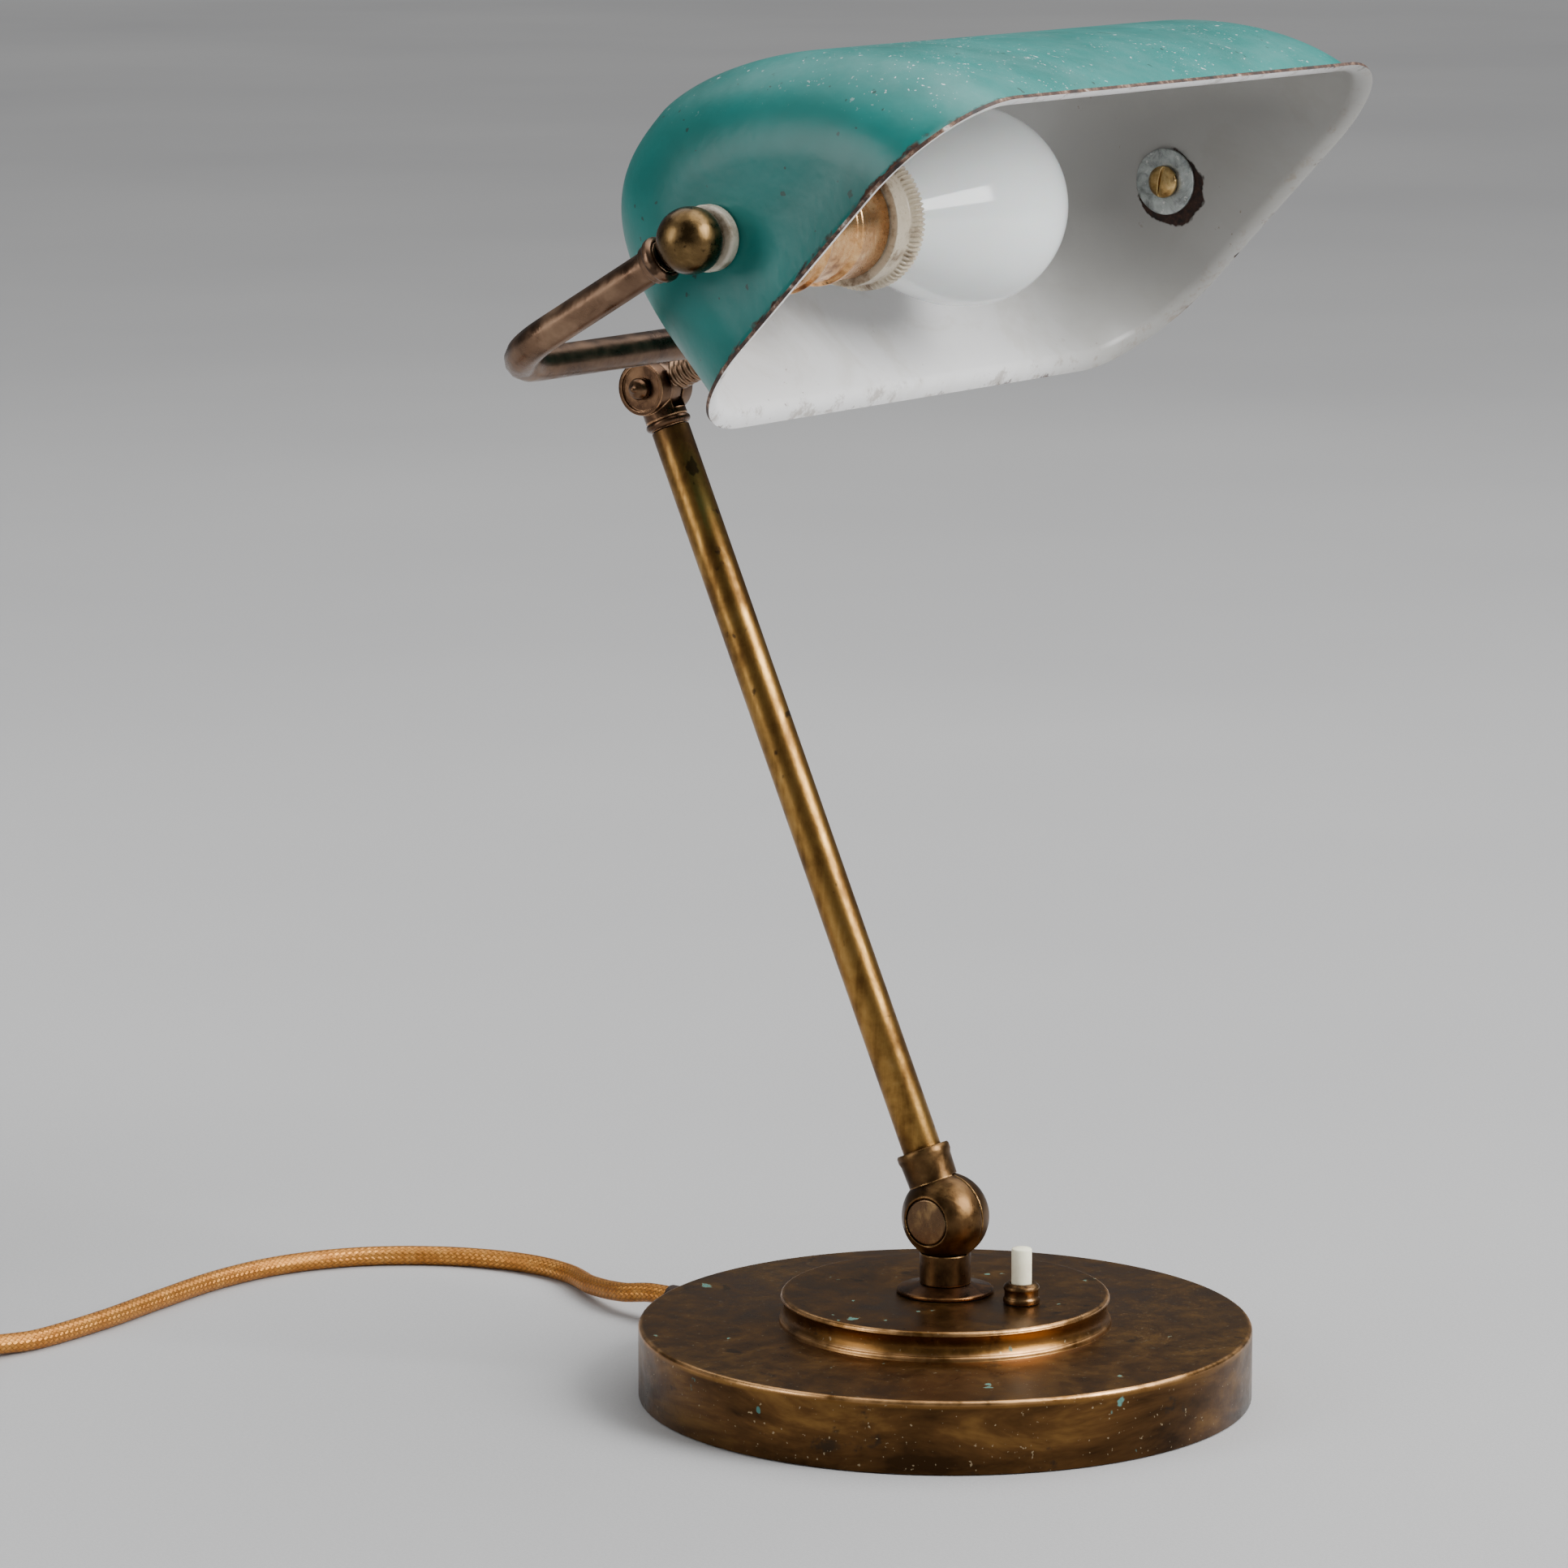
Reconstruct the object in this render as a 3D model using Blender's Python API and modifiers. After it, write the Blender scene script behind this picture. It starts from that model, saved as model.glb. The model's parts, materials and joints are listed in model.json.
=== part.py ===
"""Adjustable desk lamp with an enamelled trough shade, as separate pieces on three hinges.

Metres, +Z up. The origin is the centre of the base's underside. X runs along the hinge axes and the
shade, the arm leans back towards +Y, and the shade's mouth faces forward and down, towards -Y.
"""
import math

import bmesh
import bpy
from mathutils import Matrix, Vector

# Clearances
GAP = 0.0003                     # between pieces that touch
BORE_GAP = 0.0003                # round a tube or pin in its hole

# Base
BASE_R = 0.0925
BASE_RIM_Z = 0.0221              # height of the rim's top edge
BASE_SHEET = 0.0012
STEP_R = 0.0495                  # raised disc
STEP_Z = 0.0314
COVE_R = 0.00515                 # hollow round the raised disc's side
STEP_FOOT_R = 0.0009
FELT_T = 0.0015
PLATE_T = 0.0010
WEIGHT_T = 0.0120
WEIGHT_BORE_R = 0.0385

# Stem between the base and the lower knuckle
NIPPLE_R = 0.0045
NIPPLE_WALL = 0.0015
NIPPLE_FOOT = 0.0220             # height of its lower end, inside the base
FLANGE_R = 0.0146
FLANGE_T = 0.0025
POST_R = 0.0077

# Lower knuckle, a ball in two halves that clamp on an axis along X
BALL_R = 0.0132
BALL_Z = 0.0548
BALL_FACE = 0.0107               # flat end face of each half, from the ball's centre
BALL_SLIT = 0.0005
KNUCKLE_SCREW_R = 0.0022
KNUCKLE_HEAD_R = 0.0042
KNUCKLE_HEAD_DEPTH = 0.0050      # screw head's pocket, from the flat end face
KNUCKLE_CAP_R = 0.0070
KNUCKLE_CAP_T = 0.0012
KNUCKLE_WASHER_R = 0.0083
KNUCKLE_WASHER_T = 0.0008

# Arm
ARM_LEAN = math.radians(23.5)
ARM_LENGTH = 0.2658              # between the two hinge axes
ARM_R = 0.0059
ARM_WALL = 0.0009
SOCKET_R = 0.0082
SOCKET_TOP = 0.0212              # from the ball's centre
SOCKET_GRIP = 0.0065             # depth of the arm in its socket
WIRE_R = 0.0017

# Upper knuckle, a fork that clamps a tongue on an axis along X
FORK_R = 0.0082
FORK_HALF = 0.0080
SLOT_HALF = 0.0030
NECK_R = 0.0066
BEAD_R = 0.0070
BEAD_DROP = 0.0118               # from the hinge axis down to the bead
SPIGOT_LENGTH = 0.0110           # the fork's spigot in the arm's tube
UPPER_BOLT_R = 0.0020

# Yoke
STEM_LENGTH = 0.0417             # upper hinge to the yoke's cross bar
STEM_RISE = math.radians(26.6)
STEM_R = 0.0041
YOKE_DEPTH = 0.0806              # cross bar to the shade's pivot axis
YOKE_RISE = math.radians(30.1)
YOKE_R = 0.0050
YOKE_WALL = 0.0010
YOKE_BEND = 0.0245
END_BALL_R = 0.0095
END_FLAT = 0.0065                # flat on an end ball, from its centre
COLLAR_WALL = 0.0005
COLLAR_R = YOKE_R + 0.0018        # over the collar's bead
COLLAR_LENGTH = 0.0052
SLEEVE_WALL = 0.0022             # sleeve brazed on the cross bar
SLEEVE_HALF = 0.0085
PIN_REACH = 0.0055               # threaded pins in the end balls' bores

# Shade, an arched trough drawn from sheet steel
SHADE_TILT = math.radians(46.0)
SHADE_HALF = 0.1223              # half the length over the flat ends, at the pivot
SHADE_FLARE = 0.0018             # widening of each end towards the mouth
SHADE_FLARE_DEPTH = 0.0185
SHADE_REAR = 0.0472              # crown line to the rear side, at the mouth
SHADE_FRONT = 0.0783             # crown line to the front side, at the mouth
SHADE_REAR_POWER = 2.8           # squareness of the rear half of the section
SHADE_FRONT_POWER = 1.52         # squareness of its front half
SHADE_HEIGHT = 0.0740            # mouth to crown
CROWN_FORWARD = 0.0022           # pivot axis to crown line
PIVOT_DEPTH = 0.0295             # mouth to pivot axis
SHADE_CORNER = 0.0322
SHADE_SHEET = 0.0011
LIP_OUT = 0.0045
LIP_DEEP = 0.0030
PIVOT_HOLE_R = 0.0053

# Pivots and lampholder, on the shade's pivot axis
SPACER_R = 0.0094
SPACER_T = 0.0040
YOKE_HALF = SHADE_HALF + SPACER_T + END_FLAT + 2 * GAP  # to the centres of the end balls
WASHER_R = 0.0102
WASHER_T = 0.0010
LAMP_NIPPLE_R = 0.0049
PIVOT_SCREW_R = 0.0026
PIVOT_HEAD_R = 0.0049
HOLDER_R = 0.0176
HOLDER_WALL = 0.0010
HOLDER_CAP_LENGTH = 0.0245
HOLDER_BODY_LENGTH = 0.0365
HOLDER_RING_R = 0.0205
HOLDER_RING_LENGTH = 0.0135
LAMP_CAP_R = 0.0130
LAMP_CAP_LENGTH = 0.0235
LAMP_DEPTH = 0.0110              # lamp's cap in the lampholder's body
BULB_R = 0.0293
BULB_NECK_LENGTH = 0.0540        # from the lamp's cap to the globe's centre
BULB_WALL = 0.0010

# Push-button switch
SWITCH_X = 0.0012
SWITCH_Y = -0.0264
SWITCH_R = 0.0055
SWITCH_COLLAR_H = 0.0061
BUTTON_R = 0.00305
BUTTON_TOP = 0.0486
SWITCH_BODY_R = 0.0085
SWITCH_BODY_LOW = 0.0100
SWITCH_BODY_TOP = 0.0268
SWITCH_FLOOR = 0.0140            # bottom of the button's well
BUTTON_SEAT = 0.0220             # underside of the button, on its spring
SLEEVE_R = 0.0046
SPRING_R = 0.0022
SPRING_WIRE_R = 0.0003
SPRING_TURNS = 4

# Mains cord
CORD_R = 0.0031
CORD_PITCH = 0.0065              # between neighbouring turns
EXIT_ANGLE = math.radians(10.0)  # from +Y towards +X
EXIT_Z = 0.0090
GLAND_LENGTH = 0.0250
GLAND_R = 0.0050
LEAD_R = 0.0028                  # the cord's stripped end inside the base
LEAD_Z = 0.0064
COIL_CENTRE = (-0.175, 0.309)
COIL_R = 0.0370                  # middle of its turns
COIL_FLOOR = 0.0012              # the tie's strap lies under the turns
PLUG_LENGTH = 0.036
PLUG_WIDTH = 0.026
PLUG_T = 0.0136
PLUG_PIN_R = 0.0020
PLUG_PIN_LENGTH = 0.019
PLUG_PIN_SPACING = 0.0186
PLUG_ANGLE = math.radians(25.0)
TIE_T = 0.0009
TIE_WIDTH = 0.0080

# Number of sides of turned pieces
FINE, MEDIUM, COARSE = 40, 20, 12

COLOURS = {
    "bronze_patina": ((0.10, 0.055, 0.022), 0.42, 1.0),
    "arm_brass": ((0.17, 0.10, 0.030), 0.40, 1.0),
    "bright_brass": ((0.46, 0.28, 0.10), 0.35, 1.0),
    "enamel_green": ((0.015, 0.19, 0.15), 0.18, 0.0),
    "enamel_white": ((0.62, 0.62, 0.62), 0.25, 0.0),
    "porcelain": ((0.72, 0.68, 0.58), 0.30, 0.0),
    "opal_glass": ((0.80, 0.80, 0.79), 0.10, 0.0),
    "zinc": ((0.33, 0.35, 0.34), 0.40, 1.0),
    "cast_iron": ((0.08, 0.08, 0.08), 0.70, 1.0),
    "felt": ((0.03, 0.06, 0.035), 0.95, 0.0),
    "ivory_button": ((0.72, 0.68, 0.58), 0.35, 0.0),
    "dark_plastic": ((0.03, 0.022, 0.018), 0.35, 0.0),
    "cord_fabric": ((0.42, 0.24, 0.08), 0.75, 0.0),
    "wire_insulation": ((0.05, 0.05, 0.05), 0.60, 0.0),
}


# ---------------------------------------------------------------- tools

def clear_scene():
    for obj in list(bpy.data.objects):
        bpy.data.objects.remove(obj, do_unlink=True)


def make_collection(name):
    collection = bpy.data.collections.new(name)
    bpy.context.scene.collection.children.link(collection)
    return collection


def material(name):
    made = bpy.data.materials.get(name)
    if made is None:
        colour, roughness, metallic = COLOURS[name]
        made = bpy.data.materials.new(name)
        made.use_nodes = True
        shader = made.node_tree.nodes["Principled BSDF"]
        shader.inputs["Base Color"].default_value = (*colour, 1.0)
        shader.inputs["Roughness"].default_value = roughness
        shader.inputs["Metallic"].default_value = metallic
    return made


def pivot(name, location, parent=None, turn=None):
    empty = bpy.data.objects.new(name, None)
    PARTS.objects.link(empty)
    empty.parent = parent
    empty.location = location
    if turn is not None:
        empty.rotation_euler = turn
    return empty


def add(name, data, finish, parent=None, at=(0, 0, 0), turn=(0, 0, 0)):
    """Put a mesh or curve in the scene; finish None makes it a cutter."""
    obj = bpy.data.objects.new(name, data)
    (CUTTERS if finish is None else PARTS).objects.link(obj)
    obj.parent = parent
    obj.location = at
    obj.rotation_euler = turn
    if finish is None:
        obj.hide_render = True
        obj.display_type = "WIRE"
    else:
        data.materials.append(material(finish))
    return obj


def turned(name, profile, finish, sides=MEDIUM, closed=False, **place):
    """Turn a profile of (radius, height) about Z. A closed profile makes a ring."""
    mesh = bpy.data.meshes.new(name)
    edges = [(i, i + 1) for i in range(len(profile) - 1)]
    if closed:
        edges.append((len(profile) - 1, 0))
    mesh.from_pydata([(r, 0.0, z) for r, z in profile], edges, [])
    obj = add(name, mesh, finish, **place)
    screw = obj.modifiers.new("turn", "SCREW")
    screw.axis = "Z"
    screw.angle = math.tau
    screw.steps = sides
    screw.render_steps = sides
    screw.use_merge_vertices = True
    screw.merge_threshold = 0.00001
    screw.use_smooth_shade = True
    return obj


def disc(name, radius, low, high, finish, sides=MEDIUM, **place):
    return turned(name, [(0, high), (radius, high), (radius, low), (0, low)], finish, sides, **place)


def ring(name, inner, outer, low, high, finish, sides=MEDIUM, **place):
    profile = [(outer, high), (outer, low), (inner, low), (inner, high)]
    return turned(name, profile, finish, sides, closed=True, **place)


def arc(centre, radius, start, end, steps):
    """Points on an arc, angles in degrees from +radius towards +height."""
    angles = [math.radians(start + (end - start) * i / steps) for i in range(steps + 1)]
    return [(centre[0] + radius * math.cos(a), centre[1] + radius * math.sin(a)) for a in angles]


def hex_nut(name, bore, radius, low, high, **place):
    """A hexagonal nut with a round hole."""
    nut = disc(name, radius, low, high, "zinc", 6, **place)
    hole = disc(name + "_hole", bore + BORE_GAP, low - radius, high + radius, None, COARSE, **place)
    return combine(nut, hole)


def box(name, low, high, finish=None, **place):
    mesh = bpy.data.meshes.new(name)
    shape = bmesh.new()
    bmesh.ops.create_cube(shape, size=1.0)
    size = Vector(high) - Vector(low)
    bmesh.ops.scale(shape, vec=size, verts=shape.verts)
    bmesh.ops.translate(shape, vec=(Vector(high) + Vector(low)) / 2, verts=shape.verts)
    shape.to_mesh(mesh)
    shape.free()
    return add(name, mesh, finish, **place)


def combine(obj, other, operation="DIFFERENCE"):
    modifier = obj.modifiers.new(other.name, "BOOLEAN")
    modifier.operation = operation
    modifier.object = other
    modifier.solver = "EXACT"
    return obj


def rod(name, points, radius, finish, resolution=3, **place):
    """A round bar or cord along a polyline, with filled caps."""
    curve = bpy.data.curves.new(name, "CURVE")
    curve.dimensions = "3D"
    curve.bevel_depth = radius
    curve.bevel_resolution = resolution
    curve.use_fill_caps = True
    spline = curve.splines.new("POLY")
    spline.points.add(len(points) - 1)
    for point, place_at in zip(spline.points, points):
        point.co = (*place_at, 1.0)
    return add(name, curve, finish, **place)


def as_mesh(obj):
    """Change a curve object to a mesh, so that it can be cut."""
    bpy.context.view_layer.update()
    evaluated = obj.evaluated_get(bpy.context.evaluated_depsgraph_get())
    mesh = bpy.data.meshes.new_from_object(evaluated)
    shape = bmesh.new()
    shape.from_mesh(mesh)
    bmesh.ops.remove_doubles(shape, verts=shape.verts, dist=0.00001)
    bmesh.ops.recalc_face_normals(shape, faces=shape.faces)
    shape.to_mesh(mesh)
    shape.free()
    name, parent, world = obj.name, obj.parent, obj.matrix_world.copy()
    hidden, display = obj.hide_render, obj.display_type
    collection = obj.users_collection[0]
    bpy.data.objects.remove(obj, do_unlink=True)
    made = bpy.data.objects.new(name, mesh)
    collection.objects.link(made)
    made.parent = parent
    made.matrix_world = world
    made.hide_render = hidden
    made.display_type = display
    return made


def smooth_route(points, spacing):
    """Read points at an even spacing from a smooth curve through the given ones."""
    knots = [Vector(p) for p in points]
    knots = [2 * knots[0] - knots[1]] + knots + [2 * knots[-1] - knots[-2]]
    dense = []
    for a, b, c, d in zip(knots, knots[1:], knots[2:], knots[3:]):
        for step in range(24):
            t = step / 24
            dense.append(0.5 * (2 * b + (c - a) * t + (2 * a - 5 * b + 4 * c - d) * t ** 2
                                + (3 * b - a - 3 * c + d) * t ** 3))
    dense.append(knots[-2])
    total = sum((q - p).length for p, q in zip(dense, dense[1:]))
    count = max(2, round(total / spacing))
    wanted, walked, route = 1, 0.0, [dense[0]]
    for p, q in zip(dense, dense[1:]):
        length = (q - p).length
        while wanted < count and walked + length >= wanted * total / count:
            route.append(p.lerp(q, (wanted * total / count - walked) / length))
            wanted += 1
        walked += length
    route.append(dense[-1])
    return route


def shade_smooth_all():
    for obj in PARTS.objects:
        if obj.type == "MESH":
            obj.data.shade_smooth()
            obj.data.set_sharp_from_angle(angle=math.radians(35))


ALONG_X = (0, math.pi / 2, 0)         # turns a piece's own Z to +X
ALONG_MINUS_X = (0, -math.pi / 2, 0)  # turns a piece's own Z to -X


# ---------------------------------------------------------------- base

def base_outline():
    """The base's outer profile, from the centre hole out and down to the rim's foot."""
    hole = NIPPLE_R + BORE_GAP
    edge = 0.0011
    top = [(hole, STEP_Z)]
    top += arc((STEP_R - edge, STEP_Z - edge), edge, 90, 0, 2)
    # a shallow cove, then a rounded foot
    top += arc((STEP_R + 0.0043, STEP_Z - 0.00435), COVE_R, 143.7, 216.3, 4)
    top += arc((STEP_R - 0.0004, STEP_Z - 0.0083), STEP_FOOT_R, 60, 0, 2)
    top += [(STEP_R + 0.0006, BASE_RIM_Z + 0.0003)]
    top += arc((BASE_R - 0.0012, BASE_RIM_Z - 0.0012), 0.0012, 90, 0, 2)
    top += [(BASE_R, GAP)]
    return top


def make_base():
    outer = base_outline()
    inside = [(BASE_R - BASE_SHEET, GAP), (BASE_R - BASE_SHEET, BASE_RIM_Z - BASE_SHEET - 0.0006),
              (STEP_R - 0.0010, BASE_RIM_Z - BASE_SHEET), (STEP_R - 0.0050, BASE_RIM_Z),
              (STEP_R - 0.0050, STEP_Z - BASE_SHEET), (NIPPLE_R + BORE_GAP, STEP_Z - BASE_SHEET)]
    cover = turned("base_cover", outer + inside, "bronze_patina", FINE, closed=True)
    switch_hole = disc("switch_hole", SLEEVE_R + BORE_GAP, STEP_Z - 0.004, STEP_Z + 0.004, None,
                       COARSE, at=(SWITCH_X, SWITCH_Y, 0))
    combine(cover, switch_hole)
    gland_hole = disc("gland_hole", GLAND_R - 0.0004, -0.006, 0.006, None, COARSE,
                      at=exit_point(BASE_R), turn=exit_turn())
    combine(cover, gland_hole)
    inner = BASE_R - BASE_SHEET - 2 * GAP
    disc("felt_pad", inner, 0.0, FELT_T, "felt", FINE)
    disc("base_plate", inner, FELT_T + GAP, FELT_T + GAP + PLATE_T, "zinc", FINE)
    weight_low = FELT_T + PLATE_T + 2 * GAP
    weight = ring("base_weight", WEIGHT_BORE_R, inner, weight_low, weight_low + WEIGHT_T, "cast_iron",
                  FINE)
    channel = box("cord_channel", (-0.0062, WEIGHT_BORE_R - 0.006, 0.0), (0.0062, BASE_R + 0.004, 0.03),
                  turn=(0, 0, -EXIT_ANGLE))
    combine(weight, channel)


def make_stem():
    top = STEP_Z + GAP
    inner = NIPPLE_R - NIPPLE_WALL
    ring("stem_nipple", inner, NIPPLE_R, NIPPLE_FOOT, BALL_Z - BALL_R - GAP, "zinc", COARSE)
    lip = 0.0009
    hole = NIPPLE_R + BORE_GAP
    profile = [(POST_R + 0.0003, top + FLANGE_T), (POST_R + 0.0012, top + FLANGE_T - 0.0004),
               (FLANGE_R - lip, top + lip * 1.4), (FLANGE_R, top + lip), (FLANGE_R, top),
               (hole, top), (hole, top + FLANGE_T)]
    turned("stem_flange", profile, "bronze_patina", MEDIUM, closed=True)
    under = STEP_Z - BASE_SHEET - GAP
    ring("stem_washer", hole, 0.0100, under - WASHER_T, under, "zinc", COARSE)
    nut_top = under - WASHER_T - GAP
    hex_nut("stem_nut", NIPPLE_R, 0.0082, nut_top - 0.0035, nut_top)


# ---------------------------------------------------------------- lower knuckle and arm

def ball_profile(radius, face, steps):
    """A ball of which the top is cut flat: its outline from the axis down to the equator."""
    start = math.degrees(math.asin(face / radius))
    return [(0, face)] + arc((0, 0), radius, start, 0, steps)


def knuckle_half(name, outward, finish, parent):
    """One half of the lower ball, with its flat end face outward."""
    half = BALL_SLIT / 2
    outline = [p for p in ball_profile(BALL_R, BALL_FACE, 6) if p[1] > half]
    rim = math.sqrt(BALL_R ** 2 - half ** 2)
    return turned(name, outline + [(rim, half), (0, half)], finish, MEDIUM, turn=outward, parent=parent)


def knuckle_bores(obj, outward, parent):
    """Screw hole, head pocket and cap recess of one half."""
    recess = disc(obj.name + "_cap_recess", KNUCKLE_CAP_R + GAP, BALL_FACE - KNUCKLE_CAP_T, BALL_R,
                  None, MEDIUM, parent=parent, turn=outward)
    pocket = disc(obj.name + "_head_pocket", KNUCKLE_HEAD_R + GAP, BALL_FACE - KNUCKLE_HEAD_DEPTH, BALL_R,
                  None,
                  COARSE, parent=parent, turn=outward)
    bore = disc(obj.name + "_screw_bore", KNUCKLE_SCREW_R + BORE_GAP, -0.002, BALL_R, None, COARSE,
                parent=parent, turn=outward)
    for cutter in (recess, pocket, bore):
        combine(obj, cutter)


def clear_half_ball(obj, outward, parent):
    """Cut away the space that the other half of the ball and the washer turn in."""
    room = BALL_R + GAP
    face = -BALL_SLIT / 2
    pocket_r = KNUCKLE_WASHER_R + GAP
    pocket = -KNUCKLE_WASHER_T / 2 - GAP
    outline = [(0, room)] + arc((0, 0), room, 75, 0, 6)
    outline += [(room, face), (pocket_r, face), (pocket_r, pocket), (0, pocket)]
    cutter = turned(obj.name + "_room", outline, None, MEDIUM, parent=parent, turn=outward)
    combine(obj, cutter)


def make_lower_knuckle(arm):
    centre = (0, 0, BALL_Z)
    ball = pivot("lower_knuckle_centre", centre)
    # rear half, with the post down to the base
    post = knuckle_half("knuckle_rear_half", ALONG_X, "bronze_patina", ball)
    foot = STEP_Z + 2 * GAP + FLANGE_T - BALL_Z
    shaft = disc("post_shaft", POST_R, foot, -0.0060, None, MEDIUM, parent=ball)
    combine(post, shaft, "UNION")
    clear_half_ball(post, ALONG_MINUS_X, ball)
    knuckle_bores(post, ALONG_X, ball)
    nipple_room = disc("post_bore", NIPPLE_R + BORE_GAP, foot - 0.002, -BALL_R + 0.0006, None, COARSE,
                       parent=ball)
    combine(post, nipple_room)
    # front half, with the arm's socket
    front = knuckle_half("knuckle_front_half", ALONG_MINUS_X, "bronze_patina", arm)
    sleeve = [(SOCKET_R - 0.0004, SOCKET_TOP), (SOCKET_R, SOCKET_TOP - 0.0006),
              (SOCKET_R, SOCKET_TOP - 0.0022), (SOCKET_R - 0.0004, SOCKET_TOP - 0.0034),
              (SOCKET_R - 0.0008, 0.0060), (0, 0.0060)]
    sleeve_body = turned("socket_sleeve", [(0, SOCKET_TOP)] + sleeve, None, MEDIUM, parent=arm)
    combine(front, sleeve_body, "UNION")
    clear_half_ball(front, ALONG_X, arm)
    knuckle_bores(front, ALONG_MINUS_X, arm)
    tube_room = disc("socket_bore", ARM_R + BORE_GAP, SOCKET_TOP - SOCKET_GRIP, SOCKET_TOP + 0.002, None,
                     MEDIUM, parent=arm)
    combine(front, tube_room)
    # clamp screw, its nut, the friction washer and two flush caps
    head_low = BALL_FACE - KNUCKLE_HEAD_DEPTH + GAP
    head_high = BALL_FACE - KNUCKLE_CAP_T - GAP
    screw = [(0, head_high), (KNUCKLE_HEAD_R, head_high), (KNUCKLE_HEAD_R, head_low),
             (KNUCKLE_SCREW_R, head_low), (KNUCKLE_SCREW_R, -head_high), (0, -head_high)]
    turned("knuckle_screw", screw, "zinc", COARSE, parent=arm, turn=ALONG_MINUS_X)
    hex_nut("knuckle_nut", KNUCKLE_SCREW_R, KNUCKLE_HEAD_R, head_low, head_high, parent=ball,
            turn=ALONG_X)
    ring("knuckle_washer", KNUCKLE_SCREW_R + BORE_GAP, KNUCKLE_WASHER_R, -KNUCKLE_WASHER_T / 2,
         KNUCKLE_WASHER_T / 2, "zinc", COARSE, parent=ball, turn=ALONG_X)
    for name, parent, outward in (("knuckle_cap_front", arm, ALONG_MINUS_X),
                                  ("knuckle_cap_rear", ball, ALONG_X)):
        low = BALL_FACE - KNUCKLE_CAP_T + GAP / 2
        profile = [(0, BALL_FACE), (KNUCKLE_CAP_R - 0.0003, BALL_FACE),
                   (KNUCKLE_CAP_R, BALL_FACE - 0.0003), (KNUCKLE_CAP_R, low), (0, low)]
        turned(name, profile, "bronze_patina", MEDIUM, parent=parent, turn=outward)


def make_arm(arm):
    low = SOCKET_TOP - SOCKET_GRIP + GAP
    high = ARM_LENGTH - BEAD_DROP - 0.0018
    ring("arm_tube", ARM_R - ARM_WALL, ARM_R, low, high, "arm_brass", MEDIUM, parent=arm)
    rod("arm_wire", [(0, 0, low + 0.008), (0, 0, (low + high) / 2), (0, 0, high - 2 * SPIGOT_LENGTH)],
        WIRE_R, "wire_insulation", 1, parent=arm)
    # top fitting: spigot, bead, neck and fork
    fork = disc("arm_fork", FORK_R, -FORK_HALF, FORK_HALF, "bronze_patina", MEDIUM, parent=arm,
                at=(0, 0, ARM_LENGTH), turn=ALONG_X)
    spigot = ARM_R - ARM_WALL - BORE_GAP
    bead_z = -BEAD_DROP
    neck = [(0, -0.0045), (NECK_R, -0.0045), (NECK_R, bead_z + 0.0014)]
    neck += arc((BEAD_R - 0.0013, bead_z), 0.0013, 75, -90, 4)
    neck += [(ARM_R, bead_z - 0.0015), (spigot, bead_z - 0.0015), (spigot, bead_z - SPIGOT_LENGTH),
             (0, bead_z - SPIGOT_LENGTH)]
    neck_body = turned("fork_neck", neck, None, MEDIUM, parent=arm, at=(0, 0, ARM_LENGTH))
    combine(fork, neck_body, "UNION")
    slot = box("fork_slot", (-SLOT_HALF, -0.012, -FORK_R - GAP), (SLOT_HALF, 0.012, 0.012),
               parent=arm, at=(0, 0, ARM_LENGTH))
    combine(fork, slot)
    bore = disc("fork_bore", UPPER_BOLT_R + BORE_GAP, -0.012, 0.012, None, COARSE, parent=arm,
                at=(0, 0, ARM_LENGTH), turn=ALONG_X)
    combine(fork, bore)
    dish_depth = 0.0009
    dish = disc("fork_dish", FORK_R - 0.0013, FORK_HALF - dish_depth, FORK_HALF + 0.002, None, MEDIUM,
                parent=arm, at=(0, 0, ARM_LENGTH), turn=ALONG_MINUS_X)
    combine(fork, dish)
    # bolt, its head and its pointed nut
    floor = FORK_HALF - dish_depth
    bolt = [(0, FORK_HALF + 0.0028), (0.0032, FORK_HALF + 0.0022), (0.0045, FORK_HALF + 0.0010),
            (0.0045, FORK_HALF + GAP), (UPPER_BOLT_R, FORK_HALF + GAP), (UPPER_BOLT_R, -floor - 0.0022),
            (0, -floor - 0.0022)]
    turned("upper_bolt", bolt, "arm_brass", COARSE, parent=arm, at=(0, 0, ARM_LENGTH), turn=ALONG_X)
    seat = floor + GAP
    inner = UPPER_BOLT_R + BORE_GAP
    nut = [(0, seat + 0.0052), (0.0007, seat + 0.0050), (0.0011, seat + 0.0040), (0.0026, seat + 0.0032),
           (0.0034, seat + 0.0018), (0.0034, seat), (inner, seat), (inner, seat + 0.0026),
           (0, seat + 0.0026)]
    turned("upper_nut", nut, "arm_brass", COARSE, parent=arm, at=(0, 0, ARM_LENGTH),
           turn=ALONG_MINUS_X)


# ---------------------------------------------------------------- yoke

def yoke_points(end_gap):
    """Centre line of the yoke in its own frame: pivot axis along X, bar at -YOKE_DEPTH on Z."""
    corner_x = YOKE_HALF - YOKE_BEND
    corner_z = -YOKE_DEPTH + YOKE_BEND
    bend = [(-corner_x + p[0], 0, corner_z + p[1])
            for p in arc((0, 0), YOKE_BEND, 180, 270, 6)]
    left = [(-YOKE_HALF, 0, -end_gap)] + bend
    return left + [(0, 0, -YOKE_DEPTH)] + [(-x, y, z) for x, y, z in reversed(left)]


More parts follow.
